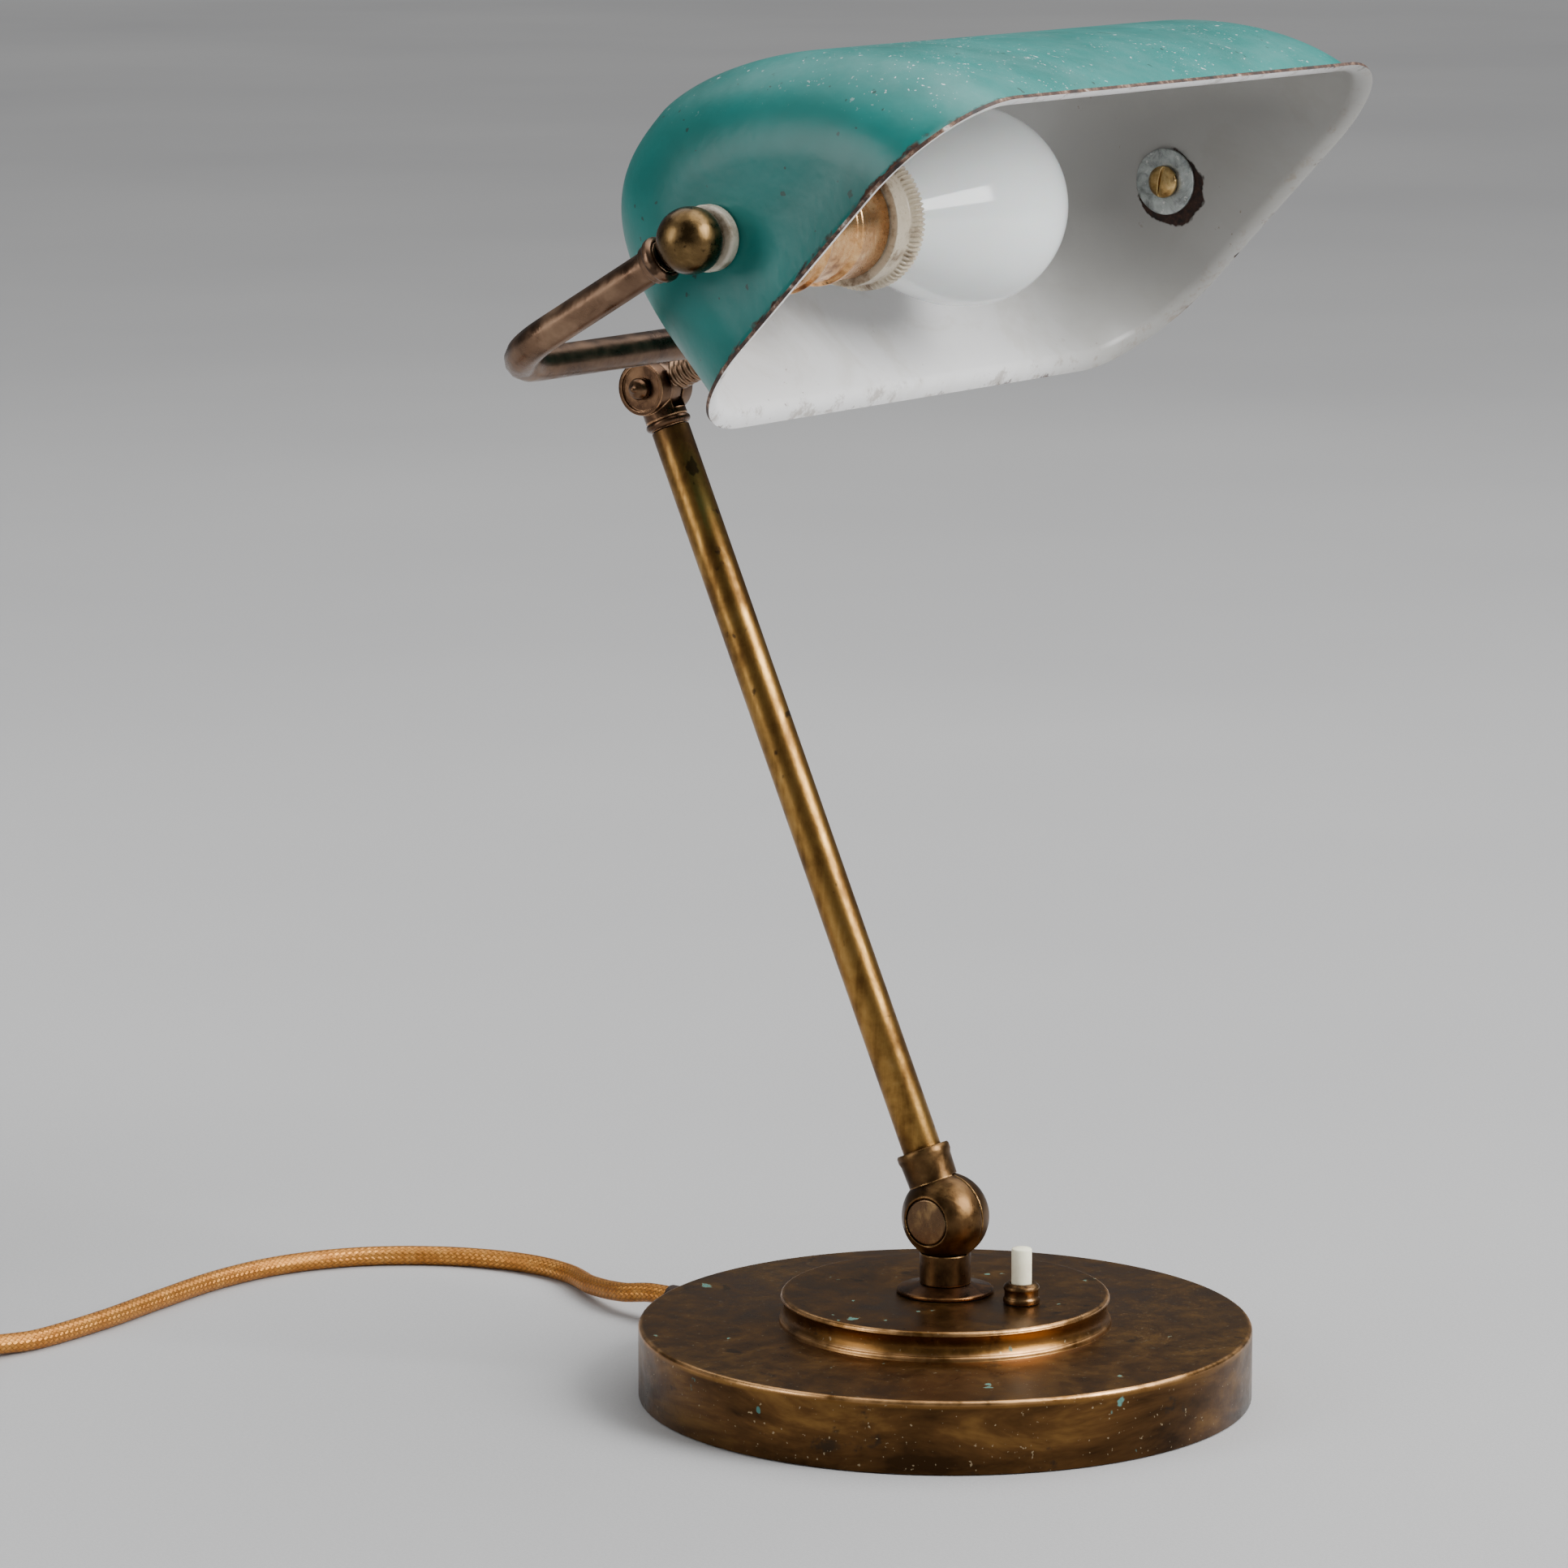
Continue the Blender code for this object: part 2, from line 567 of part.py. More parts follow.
def make_yoke(head, yoke):
    ball_room = END_BALL_R + GAP
    tube = as_mesh(rod("yoke_tube", yoke_points(ball_room), YOKE_R, "arm_brass", 4, parent=yoke))
    bore = as_mesh(rod("yoke_bore", yoke_points(ball_room - 0.002), YOKE_R - YOKE_WALL, None, 2,
                       parent=yoke))
    combine(tube, bore)
    wire = yoke_points(ball_room + 0.004)
    half_way = len(wire) // 2
    rod("yoke_wire", wire[:half_way] + [(-0.010, 0, -YOKE_DEPTH)], 0.0014, "wire_insulation", 1,
        parent=yoke)
    for side, name in ((-1, "left"), (1, "right")):
        collar_low = -ball_room - COLLAR_LENGTH
        hole = YOKE_R + BORE_GAP
        neck = hole + COLLAR_WALL
        collar = [(neck, -ball_room), (COLLAR_R, -ball_room - 0.0010),
                  (COLLAR_R, -ball_room - 0.0026), (neck, -ball_room - 0.0034),
                  (neck, collar_low), (hole, collar_low), (hole, -ball_room)]
        turned("yoke_collar_" + name, collar, "arm_brass", MEDIUM, closed=True, parent=yoke,
               at=(side * YOKE_HALF, 0, 0))
    # stem: tongue in the fork, ribbed rod, and the sleeve brazed on the bar
    tongue_r = FORK_R - GAP
    tongue_half = SLOT_HALF - GAP
    stem = disc("yoke_stem", tongue_r, -tongue_half, tongue_half, "arm_brass", MEDIUM, parent=head,
                turn=ALONG_X)
    rise = math.pi / 2 - STEM_RISE
    ribs = [(0, STEM_LENGTH - 0.0020), (STEM_R, STEM_LENGTH - 0.0020)]
    for i in range(4):
        rib = 0.0170 - 0.0020 * i
        ribs += [(STEM_R, rib), (STEM_R + 0.0007, rib - 0.0005), (STEM_R + 0.0007, rib - 0.0012),
                 (STEM_R, rib - 0.0017)]
    start = FORK_R + 0.0010
    ribs += [(STEM_R, start), (tongue_half, start - 0.0006), (tongue_half, 0.0050), (0, 0.0050)]
    shaft = turned("stem_shaft", ribs, None, 16, parent=head, turn=(rise, 0, 0))
    combine(stem, shaft, "UNION")
    bar = (0, -STEM_LENGTH * math.cos(STEM_RISE), STEM_LENGTH * math.sin(STEM_RISE))
    sleeve = disc("stem_sleeve", YOKE_R + SLEEVE_WALL, -SLEEVE_HALF, SLEEVE_HALF, None, MEDIUM,
                  parent=head, at=bar, turn=ALONG_X)
    combine(stem, sleeve, "UNION")
    bar_room = disc("stem_bar_room", YOKE_R + BORE_GAP, -0.012, 0.012, None, COARSE, parent=head, at=bar,
                    turn=ALONG_X)
    combine(stem, bar_room)
    bolt_room = disc("tongue_bore", UPPER_BOLT_R + BORE_GAP, -0.012, 0.012, None, COARSE, parent=head,
                     turn=ALONG_X)
    combine(stem, bolt_room)


def make_end_balls(yoke):
    start = math.degrees(math.asin(END_FLAT / END_BALL_R))
    for outward, side, name, bore_r in ((ALONG_X, -1, "left", LAMP_NIPPLE_R),
                                        (ALONG_MINUS_X, 1, "right", PIVOT_SCREW_R)):
        outline = [(0, END_FLAT)] + arc((0, 0), END_BALL_R, start, -90, 8)
        outline[-1] = (0, -END_BALL_R)
        ball = turned("end_ball_" + name, outline, "bronze_patina", MEDIUM, parent=yoke,
                      at=(side * YOKE_HALF, 0, 0), turn=outward)
        bore = disc("end_ball_bore_" + name, bore_r + BORE_GAP, END_FLAT - PIN_REACH - 0.0010,
                    END_FLAT + 0.002, None, COARSE, parent=yoke, at=(side * YOKE_HALF, 0, 0),
                    turn=outward)
        combine(ball, bore)


# ---------------------------------------------------------------- shade

def arch_point(inset, turn):
    """A point of the arched section: (across, above the mouth), turn 0 at the rear to 1 at the front.

    Each half is a quarter of a superellipse, the rear one squarer than the front one.
    """
    height = SHADE_HEIGHT - inset
    angle = math.pi * turn
    across, up = math.cos(angle), math.sin(angle)
    if turn <= 0.5:
        power = 2 / SHADE_REAR_POWER
        reach = SHADE_REAR - inset
    else:
        power = 2 / SHADE_FRONT_POWER
        reach = -(SHADE_FRONT - inset)
    return (reach * abs(across) ** power - CROWN_FORWARD, height * max(up, 0.0) ** power)


def shade_rows(around, corner_steps):
    """Rows of points over the trough, from the middle of one flat end to the other."""
    def row(inset, x, share=1.0):
        points = []
        for i in range(around + 1):
            y, z = arch_point(inset, i / around)
            y = (y + CROWN_FORWARD) * share - CROWN_FORWARD
            z *= share
            flare = SHADE_FLARE * max(0.0, 1 - z / SHADE_FLARE_DEPTH) ** 2
            points.append((-x - flare, y, z))
        return points

    core = SHADE_CORNER
    rows = [[(-SHADE_HALF - SHADE_FLARE, -CROWN_FORWARD, 0.0)] * (around + 1)]
    rows += [row(core, SHADE_HALF, share) for share in (0.25, 0.65)]
    for k in range(corner_steps + 1):
        angle = math.pi / 2 * (1 - k / corner_steps)
        rows.append(row(core * (1 - math.cos(angle)), SHADE_HALF - core + core * math.sin(angle)))
    rows.append([(-0.045, y, z) for _, y, z in rows[-1]])
    rows.append([(0.0, y, z) for _, y, z in rows[-1]])
    return rows + [[(-x, y, z) for x, y, z in row] for row in reversed(rows[:-1])]


def make_shade(tilt):
    around, corner_steps = 18, 6
    rows = shade_rows(around, corner_steps)
    shape = bmesh.new()
    grid = []
    for row in rows:
        same = len(set(row)) == 1
        made = shape.verts.new(row[0]) if same else None
        grid.append([made if same else shape.verts.new(p) for p in row])
    for row, following in zip(grid, grid[1:]):
        for i in range(around):
            corners = [row[i], following[i], following[i + 1], row[i + 1]]
            unique = [v for n, v in enumerate(corners) if v not in corners[:n]]
            shape.faces.new(unique)
    # the lip: the mouth's border pushed outward and down in small steps
    border = [row[0] for row in grid] + [row[-1] for row in reversed(grid[1:-1])]
    count = len(border)
    outward = []
    for i in range(count):
        along = border[(i + 1) % count].co - border[i - 1].co
        outward.append(Vector((-along.y, along.x, 0)).normalized())
    last = border
    for share, drop in ((0.10, 0.40), (0.42, 0.78), (1.00, 1.00)):
        edge = [shape.verts.new(v.co + out * LIP_OUT * share - Vector((0, 0, LIP_DEEP * drop)))
                for v, out in zip(border, outward)]
        for i in range(count):
            j = (i + 1) % count
            shape.faces.new([last[i], edge[i], edge[j], last[j]])
        last = edge
    bmesh.ops.recalc_face_normals(shape, faces=shape.faces)
    bmesh.ops.translate(shape, vec=(0, 0, LIP_DEEP - PIVOT_DEPTH), verts=shape.verts)
    mesh = bpy.data.meshes.new("shade")
    shape.to_mesh(mesh)
    shape.free()
    shade = add("shade", mesh, "enamel_green", parent=tilt)
    sheet = shade.modifiers.new("sheet", "SOLIDIFY")
    sheet.thickness = SHADE_SHEET
    sheet.offset = -1.0
    for side, outward_turn in ((-1, ALONG_MINUS_X), (1, ALONG_X)):
        hole = disc("pivot_hole_" + ("left" if side < 0 else "right"), PIVOT_HOLE_R, SHADE_HALF - 0.004,
                    SHADE_HALF + 0.004, None, COARSE, parent=tilt, turn=outward_turn)
        combine(shade, hole)


def make_pivots(yoke, tilt):
    outer = SHADE_HALF + GAP
    inner = SHADE_HALF - SHADE_SHEET - GAP
    for name, outward, pin in (("left", ALONG_MINUS_X, LAMP_NIPPLE_R), ("right", ALONG_X, PIVOT_SCREW_R)):
        edge = 0.0006
        hole = pin + BORE_GAP
        spacer = [(SPACER_R - edge, outer + SPACER_T), (SPACER_R, outer + SPACER_T - edge),
                  (SPACER_R, outer + edge), (SPACER_R - edge, outer), (hole, outer),
                  (hole, outer + SPACER_T)]
        turned("spacer_" + name, spacer, "porcelain", MEDIUM, closed=True, parent=yoke, turn=outward)
        ring("pivot_washer_" + name, hole, WASHER_R, inner - WASHER_T, inner, "zinc", MEDIUM,
             parent=tilt, turn=outward)
    nipple_high = YOKE_HALF - END_FLAT + PIN_REACH
    nipple_low = SHADE_HALF - 0.0150
    ring("lampholder_nipple", LAMP_NIPPLE_R - 0.0013, LAMP_NIPPLE_R, nipple_low, nipple_high, "zinc",
         COARSE, parent=tilt, turn=ALONG_MINUS_X)
    seat = inner - WASHER_T - GAP
    tip = YOKE_HALF - END_FLAT + PIN_REACH
    dome = [(PIVOT_SCREW_R, tip), (PIVOT_SCREW_R, seat), (PIVOT_HEAD_R, seat),
            (PIVOT_HEAD_R, seat - 0.0012), (PIVOT_HEAD_R * 0.72, seat - 0.0023), (0, seat - 0.0028)]
    screw = turned("pivot_screw", [(0, tip)] + dome, "bright_brass", COARSE, parent=tilt, turn=ALONG_X)
    slot = box("screw_slot", (-0.0070, -0.0005, seat - 0.0035), (0.0070, 0.0005, seat - 0.0013),
               parent=pivot("screw_slot_turn", (0, 0, 0), tilt, ALONG_X),
               turn=(0, 0, math.radians(55)))
    combine(screw, slot)


# ---------------------------------------------------------------- lampholder and lamp

def make_lampholder(tilt):
    """Everything here is turned about the pivot axis, measured from the shade's left end inward."""
    holder = pivot("lampholder_axis", (-SHADE_HALF, 0, 0), tilt, ALONG_X)
    low = SHADE_SHEET + GAP + WASHER_T + GAP
    cap_top = low + HOLDER_CAP_LENGTH
    wall = HOLDER_WALL
    hole = LAMP_NIPPLE_R + BORE_GAP
    dome = [(HOLDER_R, cap_top), (HOLDER_R, cap_top - 0.0020), (HOLDER_R - 0.0012, cap_top - 0.0045)]
    dome += arc((0.0070, cap_top - 0.0080), 0.0085, 20, -55, 3)
    dome += [(0.0082, low + 0.0045), (0.0076, low)]
    inside = [(r - wall, z) for r, z in dome[:-1]]
    inside = [(r, max(z, low + wall)) for r, z in reversed(inside)]
    cap = dome + [(hole, low), (hole, low + wall)] + inside
    turned("lampholder_cap", cap, "bright_brass", MEDIUM, closed=True, parent=holder)
    body_low = cap_top + GAP
    body_top = body_low + HOLDER_BODY_LENGTH
    steps = [(HOLDER_R - 0.0012, body_top), (HOLDER_R - 0.0012, body_low + 0.0240),
             (HOLDER_R - 0.0002, body_low + 0.0232), (HOLDER_R - 0.0002, body_low + 0.0215),
             (HOLDER_R - 0.0014, body_low + 0.0205), (HOLDER_R - 0.0014, body_low + 0.0080),
             (HOLDER_R + 0.0006, body_low + 0.0062), (HOLDER_R + 0.0010, body_low + 0.0045),
             (HOLDER_R, body_low + 0.0030), (HOLDER_R, body_low)]
    bore = HOLDER_R - 0.0014 - wall
    turned("lampholder_body", steps + [(bore, body_low), (bore, body_top)], "bright_brass", MEDIUM,
           closed=True, parent=holder)
    lamp_low = body_top - LAMP_DEPTH
    insulator_r = bore - GAP
    core = [(insulator_r, lamp_low - 0.0046), (insulator_r, body_low + 0.0010),
            (0.0020, body_low + 0.0010), (0.0020, lamp_low - 0.0046)]
    turned("socket_insulator", core, "porcelain", MEDIUM, closed=True, parent=holder)
    disc("socket_contact", 0.0050, lamp_low - 0.0043, lamp_low - 0.0033, "bright_brass", COARSE,
         parent=holder)
    ring("socket_shell", LAMP_CAP_R + GAP, bore - GAP, lamp_low - 0.0030, body_top - 0.0010,
         "bright_brass", MEDIUM, parent=holder)
    ring_low = body_top + GAP
    ring_top = ring_low + HOLDER_RING_LENGTH
    collar = [(HOLDER_RING_R - 0.0030, ring_top), (HOLDER_RING_R - 0.0006, ring_top - 0.0006),
              (HOLDER_RING_R, ring_top - 0.0016), (HOLDER_RING_R, ring_top - 0.0052),
              (HOLDER_RING_R - 0.0008, ring_top - 0.0060), (HOLDER_RING_R - 0.0018, ring_top - 0.0066),
              (HOLDER_RING_R - 0.0018, ring_low + 0.0004), (LAMP_CAP_R + 0.0012, ring_low + 0.0004),
              (LAMP_CAP_R + 0.0012, ring_top)]
    turned("lampholder_ring", collar, "porcelain", MEDIUM, closed=True, parent=holder)
    cap_high = lamp_low + LAMP_CAP_LENGTH
    screw = [(LAMP_CAP_R, cap_high)]
    thread = 0.0009
    for i in range(3):
        z = cap_high - 0.0030 - 0.0055 * i
        screw += [(LAMP_CAP_R, z), (LAMP_CAP_R - thread, z - 0.0027)]
    screw += [(0.0090, lamp_low + 0.0020), (0.0050, lamp_low - 0.0012), (0, lamp_low - 0.0016)]
    turned("lamp_cap", [(0, cap_high)] + screw, "zinc", 24, parent=holder)
    glass_low = cap_high + GAP
    neck_r = LAMP_CAP_R - 0.0002
    centre = glass_low + BULB_NECK_LENGTH

    def glass(wall_inset):
        rise = [(neck_r - wall_inset + (BULB_R - neck_r) * math.sin(math.pi / 2 * i / 5),
                 glass_low + BULB_NECK_LENGTH * i / 5) for i in range(6)]
        return rise + arc((0, centre), BULB_R - wall_inset, 15, 90, 6)

    outer = list(reversed(glass(0.0)))
    inner = glass(BULB_WALL)
    outer[0] = (0, outer[0][1])
    inner[-1] = (0, inner[-1][1])
    turned("bulb", outer + inner, "opal_glass", MEDIUM, parent=holder)


# ---------------------------------------------------------------- switch

def make_switch():
    switch = pivot("switch_axis", (SWITCH_X, SWITCH_Y, 0))
    bore = BUTTON_R + BORE_GAP
    top = STEP_Z + GAP + SWITCH_COLLAR_H
    low = STEP_Z + GAP
    collar = [(bore + 0.0004, top), (SWITCH_R - 0.0012, top - 0.0001), (SWITCH_R - 0.0002, top - 0.0010),
              (SWITCH_R, top - 0.0018), (SWITCH_R - 0.0004, top - 0.0026),
              (SWITCH_R - 0.0004, low + 0.0018), (SWITCH_R, low + 0.0014), (SWITCH_R, low),
              (bore, low), (bore, top - 0.0004)]
    turned("switch_collar", collar, "bright_brass", MEDIUM, closed=True, parent=switch)
    floor = SWITCH_FLOOR
    sleeve = [(0, floor), (bore, floor), (bore, STEP_Z), (SLEEVE_R, STEP_Z),
              (SLEEVE_R, SWITCH_BODY_TOP), (SWITCH_BODY_R, SWITCH_BODY_TOP),
              (SWITCH_BODY_R, SWITCH_BODY_LOW), (0, SWITCH_BODY_LOW)]
    turned("switch_body", sleeve, "dark_plastic", MEDIUM, parent=switch)
    nut_top = STEP_Z - BASE_SHEET - GAP
    hex_nut("switch_nut", SLEEVE_R, 0.0075, SWITCH_BODY_TOP + GAP, nut_top, parent=switch)
    seat = BUTTON_SEAT
    button = [(0, BUTTON_TOP)] + arc((0, BUTTON_TOP - 0.0092), 0.0092, 84, 71.5, 2)
    button += [(BUTTON_R, BUTTON_TOP - 0.0010), (BUTTON_R, seat), (0, seat)]
    turned("switch_button", button, "ivory_button", MEDIUM, parent=switch)
    height = seat - floor - 2 * GAP - 2 * SPRING_WIRE_R
    points = []
    per_turn = 9
    for i in range(SPRING_TURNS * per_turn + 1):
        angle = math.tau * i / per_turn
        z = floor + GAP + SPRING_WIRE_R + height * i / (SPRING_TURNS * per_turn)
        points.append((SPRING_R * math.cos(angle), SPRING_R * math.sin(angle), z))
    rod("switch_spring", points, SPRING_WIRE_R, "zinc", 1, parent=switch)


# ---------------------------------------------------------------- mains cord

def exit_direction():
    return Vector((math.sin(EXIT_ANGLE), math.cos(EXIT_ANGLE), 0))


def exit_point(radius):
    return exit_direction() * radius + Vector((0, 0, EXIT_Z))


def exit_turn():
    """Turns a piece's own Z to the cord's way out of the base."""
    return (-math.pi / 2, 0, -EXIT_ANGLE)


def cord_route():
    """Centre line from the gland to the coil, the way it lies on the table."""
    start = exit_point(BASE_R + GLAND_LENGTH + GAP)
    ahead = exit_direction()
    lying = CORD_R
    first = [start, start + ahead * 0.010 - Vector((0, 0, 0.0006)),
             start + ahead * 0.022 - Vector((0, 0, 0.0026))]
    table = [(0.0335, 0.1560), (0.0450, 0.1740), (0.0480, 0.1960), (0.0410, 0.2210), (0.0250, 0.2430),
             (0.0020, 0.2570), (-0.0250, 0.2620), (-0.0550, 0.2610), (-0.0850, 0.2590),
             (-0.1150, 0.2600)]
    flat = [Vector((x, y, lying)) for x, y in table]
    flat[0].z = lying + 0.0010
    bottom_turn = COIL_FLOOR + CORD_R
    outer = COIL_R + CORD_PITCH
    reach = math.sqrt((outer + CORD_R + GAP) ** 2 - (outer - CORD_R) ** 2) + 2 * GAP
    entry = Vector((COIL_CENTRE[0] + reach, COIL_CENTRE[1] - outer, bottom_turn))
    return first + flat + [entry + Vector((0.012, 0, 0)), entry]


def tail_route():
    """Centre line from the coil's top turn to the plug."""
    outer = COIL_R + CORD_PITCH
    reach = math.sqrt((outer + CORD_R + GAP) ** 2 - (outer - CORD_R) ** 2) + 2 * GAP
    top_turn = COIL_FLOOR + CORD_R + 2 * CORD_R + GAP / 2
    leave = Vector((COIL_CENTRE[0] + reach, COIL_CENTRE[1] + outer, top_turn))
    back = plug_back()
    toward = Vector((math.cos(PLUG_ANGLE), math.sin(PLUG_ANGLE), 0))
    return [leave, leave + Vector((0.009, 0.0006, -0.0006)), back - toward * 0.016, back]


def plug_back():
    return Vector((-0.117, 0.3610, PLUG_T / 2))


def make_cord():
    out = exit_point(BASE_R)
    inward = -0.0050
    gland = [(0, GLAND_LENGTH), (CORD_R + 0.0006, GLAND_LENGTH), (GLAND_R - 0.0006, 0.0040),
             (GLAND_R, 0.0032), (GLAND_R, 0.0004), (GLAND_R - 0.0008, 0.0004),
             (GLAND_R - 0.0008, inward), (0, inward)]
    turned("cord_gland", gland, "dark_plastic", 24, at=out, turn=exit_turn())
    spacing = 5 * CORD_R
    rod("cord_lead", smooth_route(cord_route(), spacing), CORD_R, "cord_fabric", 3)
    rod("cord_tail", smooth_route(tail_route(), spacing), CORD_R, "cord_fabric", 3)
    inner = COIL_R - CORD_PITCH - CORD_R
    outer = COIL_R + CORD_PITCH + CORD_R
    low = COIL_FLOOR
    high = COIL_FLOOR + 4 * CORD_R + GAP / 2
    round_off = CORD_R * 0.8
    section = arc((outer - round_off, high - round_off), round_off, 90, 0, 2)
    section += arc((outer - round_off, low + round_off), round_off, 0, -90, 2)
    section += arc((inner + round_off, low + round_off), round_off, -90, -180, 2)
    section += arc((inner + round_off, high - round_off), round_off, 180, 90, 2)
    turned("cord_coil", section, "cord_fabric", FINE, closed=True, at=(*COIL_CENTRE, 0))
    # the tie's strap goes once round the turns, on the coil's far side
    near = math.sqrt(inner ** 2 - (TIE_WIDTH / 2) ** 2) - 2 * GAP
    strap = ((near, -TIE_WIDTH, low - GAP), (outer + GAP, TIE_WIDTH, high + GAP))
    turn = (0, 0, math.radians(200))
    tie = box("cord_tie", (near - TIE_T, -TIE_WIDTH / 2, low - GAP - TIE_T),
              (outer + GAP + TIE_T, TIE_WIDTH / 2, high + GAP + TIE_T), "dark_plastic",
              at=(*COIL_CENTRE, 0), turn=turn)
    space = box("cord_tie_space", *strap, at=(*COIL_CENTRE, 0), turn=turn)
    combine(tie, space)


def make_base_lead():
    """The cord's inner end, from the gland to under the switch."""
    height = LEAD_Z
    start = exit_point(BASE_R - 0.0056)
    route = [start, exit_point(BASE_R * 0.76), exit_point(WEIGHT_BORE_R - 0.0045), Vector((0.0120, 0.014, height + 0.0006)),
             Vector((0.0150, 0.0, height)), Vector((0.0100, -0.016, height)),
             Vector((SWITCH_X, SWITCH_Y, height))]
    rod("base_lead", smooth_route(route, 0.008), LEAD_R, "cord_fabric", 1)


def make_plug():
    turn = (0, 0, PLUG_ANGLE)
    back = plug_back() + Vector((math.cos(PLUG_ANGLE), math.sin(PLUG_ANGLE), 0)) * GAP
    outline = [(0.0, 0.0055), (0.006, 0.0070), (0.014, PLUG_WIDTH / 2 - 0.0010),
               (0.020, PLUG_WIDTH / 2), (PLUG_LENGTH, PLUG_WIDTH / 2)]
    outline += [(x, -y) for x, y in reversed(outline)]
    curve = bpy.data.curves.new("plug_body", "CURVE")
    curve.dimensions = "2D"
    curve.fill_mode = "BOTH"
    curve.extrude = PLUG_T / 2
    spline = curve.splines.new("POLY")
    spline.points.add(len(outline) - 1)
    for point, (x, y) in zip(spline.points, outline):
        point.co = (x, y, 0, 1)
    spline.use_cyclic_u = True
    body = as_mesh(add("plug_body", curve, "dark_plastic", at=back, turn=turn))
    bevel = body.modifiers.new("edges", "BEVEL")
    bevel.width = 0.0015
    bevel.segments = 2
    bevel.limit_method = "ANGLE"
    bevel.angle_limit = math.radians(50)
    for side, name in ((-1, "a"), (1, "b")):
        root = Vector((PLUG_LENGTH + GAP, side * PLUG_PIN_SPACING / 2, 0))
        at = back + Matrix.Rotation(PLUG_ANGLE, 3, "Z") @ root
        pin = [(0, PLUG_PIN_LENGTH), (PLUG_PIN_R * 0.6, PLUG_PIN_LENGTH),
               (PLUG_PIN_R, PLUG_PIN_LENGTH - 0.0010), (PLUG_PIN_R, 0), (0, 0)]
        turned("plug_pin_" + name, pin, "bright_brass", 16, at=at,
               turn=(0, math.pi / 2, PLUG_ANGLE))


# ---------------------------------------------------------------- assembly

clear_scene()
PARTS = make_collection("banker_desk_lamp")
CUTTERS = make_collection("cutters")

arm_pivot = pivot("arm_pivot", (0, 0, BALL_Z), None, (-ARM_LEAN, 0, 0))
head_at = Vector((0, math.sin(ARM_LEAN), math.cos(ARM_LEAN))) * ARM_LENGTH + Vector((0, 0, BALL_Z))
head_pivot = pivot("head_pivot", head_at)
yoke_at = Vector((0, -STEM_LENGTH * math.cos(STEM_RISE) - YOKE_DEPTH * math.cos(YOKE_RISE),
                  STEM_LENGTH * math.sin(STEM_RISE) + YOKE_DEPTH * math.sin(YOKE_RISE)))
yoke_frame = pivot("yoke_frame", yoke_at, head_pivot, (math.pi / 2 - YOKE_RISE, 0, 0))
shade_pivot = pivot("shade_pivot", head_at + yoke_at, None, (-SHADE_TILT, 0, 0))

make_base()
make_stem()
make_lower_knuckle(arm_pivot)
make_arm(arm_pivot)
make_yoke(head_pivot, yoke_frame)
make_end_balls(yoke_frame)
make_shade(shade_pivot)
make_pivots(yoke_frame, shade_pivot)
make_lampholder(shade_pivot)
make_switch()
make_cord()
make_base_lead()
make_plug()
shade_smooth_all()
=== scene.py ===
"""Adjustable desk lamp: the fine visual model, its materials, the light and the camera.

Metres, +Z up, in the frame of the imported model. Every visible node is modelled again here with more
sides, rounder edges and finer profiles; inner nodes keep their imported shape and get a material.
"""
import json
import math

import bmesh
import bpy
from mathutils import Matrix, Vector

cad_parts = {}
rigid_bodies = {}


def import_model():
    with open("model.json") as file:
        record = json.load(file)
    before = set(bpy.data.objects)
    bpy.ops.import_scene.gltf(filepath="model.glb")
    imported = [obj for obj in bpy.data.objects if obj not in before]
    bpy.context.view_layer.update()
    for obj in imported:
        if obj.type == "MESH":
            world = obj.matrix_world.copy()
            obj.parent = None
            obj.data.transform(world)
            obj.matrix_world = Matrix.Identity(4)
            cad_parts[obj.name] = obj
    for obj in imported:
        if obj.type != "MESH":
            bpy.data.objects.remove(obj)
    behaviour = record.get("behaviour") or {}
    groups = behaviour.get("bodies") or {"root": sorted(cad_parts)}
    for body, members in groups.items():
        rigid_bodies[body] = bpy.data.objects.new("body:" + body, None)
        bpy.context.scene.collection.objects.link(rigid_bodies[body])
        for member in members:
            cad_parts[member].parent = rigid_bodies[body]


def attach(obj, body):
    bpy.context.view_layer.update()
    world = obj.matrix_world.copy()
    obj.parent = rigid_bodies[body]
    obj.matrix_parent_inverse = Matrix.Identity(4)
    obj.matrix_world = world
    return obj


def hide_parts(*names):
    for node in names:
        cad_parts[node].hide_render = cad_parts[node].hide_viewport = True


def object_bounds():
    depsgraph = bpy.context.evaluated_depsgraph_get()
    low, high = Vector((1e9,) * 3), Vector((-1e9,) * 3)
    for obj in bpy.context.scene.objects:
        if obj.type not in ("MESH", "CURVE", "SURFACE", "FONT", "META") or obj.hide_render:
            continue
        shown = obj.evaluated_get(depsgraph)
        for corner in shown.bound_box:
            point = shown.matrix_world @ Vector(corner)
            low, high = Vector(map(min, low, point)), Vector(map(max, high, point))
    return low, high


for old in list(bpy.data.objects):
    bpy.data.objects.remove(old, do_unlink=True)
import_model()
CAD_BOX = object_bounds()

# Clearances
GAP = 0.0003                     # between pieces that touch
BORE_GAP = 0.0003                # round a tube or pin in its hole

# Base
BASE_R = 0.0925
BASE_RIM_Z = 0.0221              # height of the rim's top edge
BASE_SHEET = 0.0012
STEP_R = 0.0495                  # raised disc
STEP_Z = 0.0314
COVE_R = 0.00515                 # hollow round the raised disc's side
STEP_FOOT_R = 0.0009
FELT_T = 0.0015

# Stem between the base and the lower knuckle
NIPPLE_R = 0.0045
FLANGE_R = 0.0146
FLANGE_T = 0.0025
POST_R = 0.0077

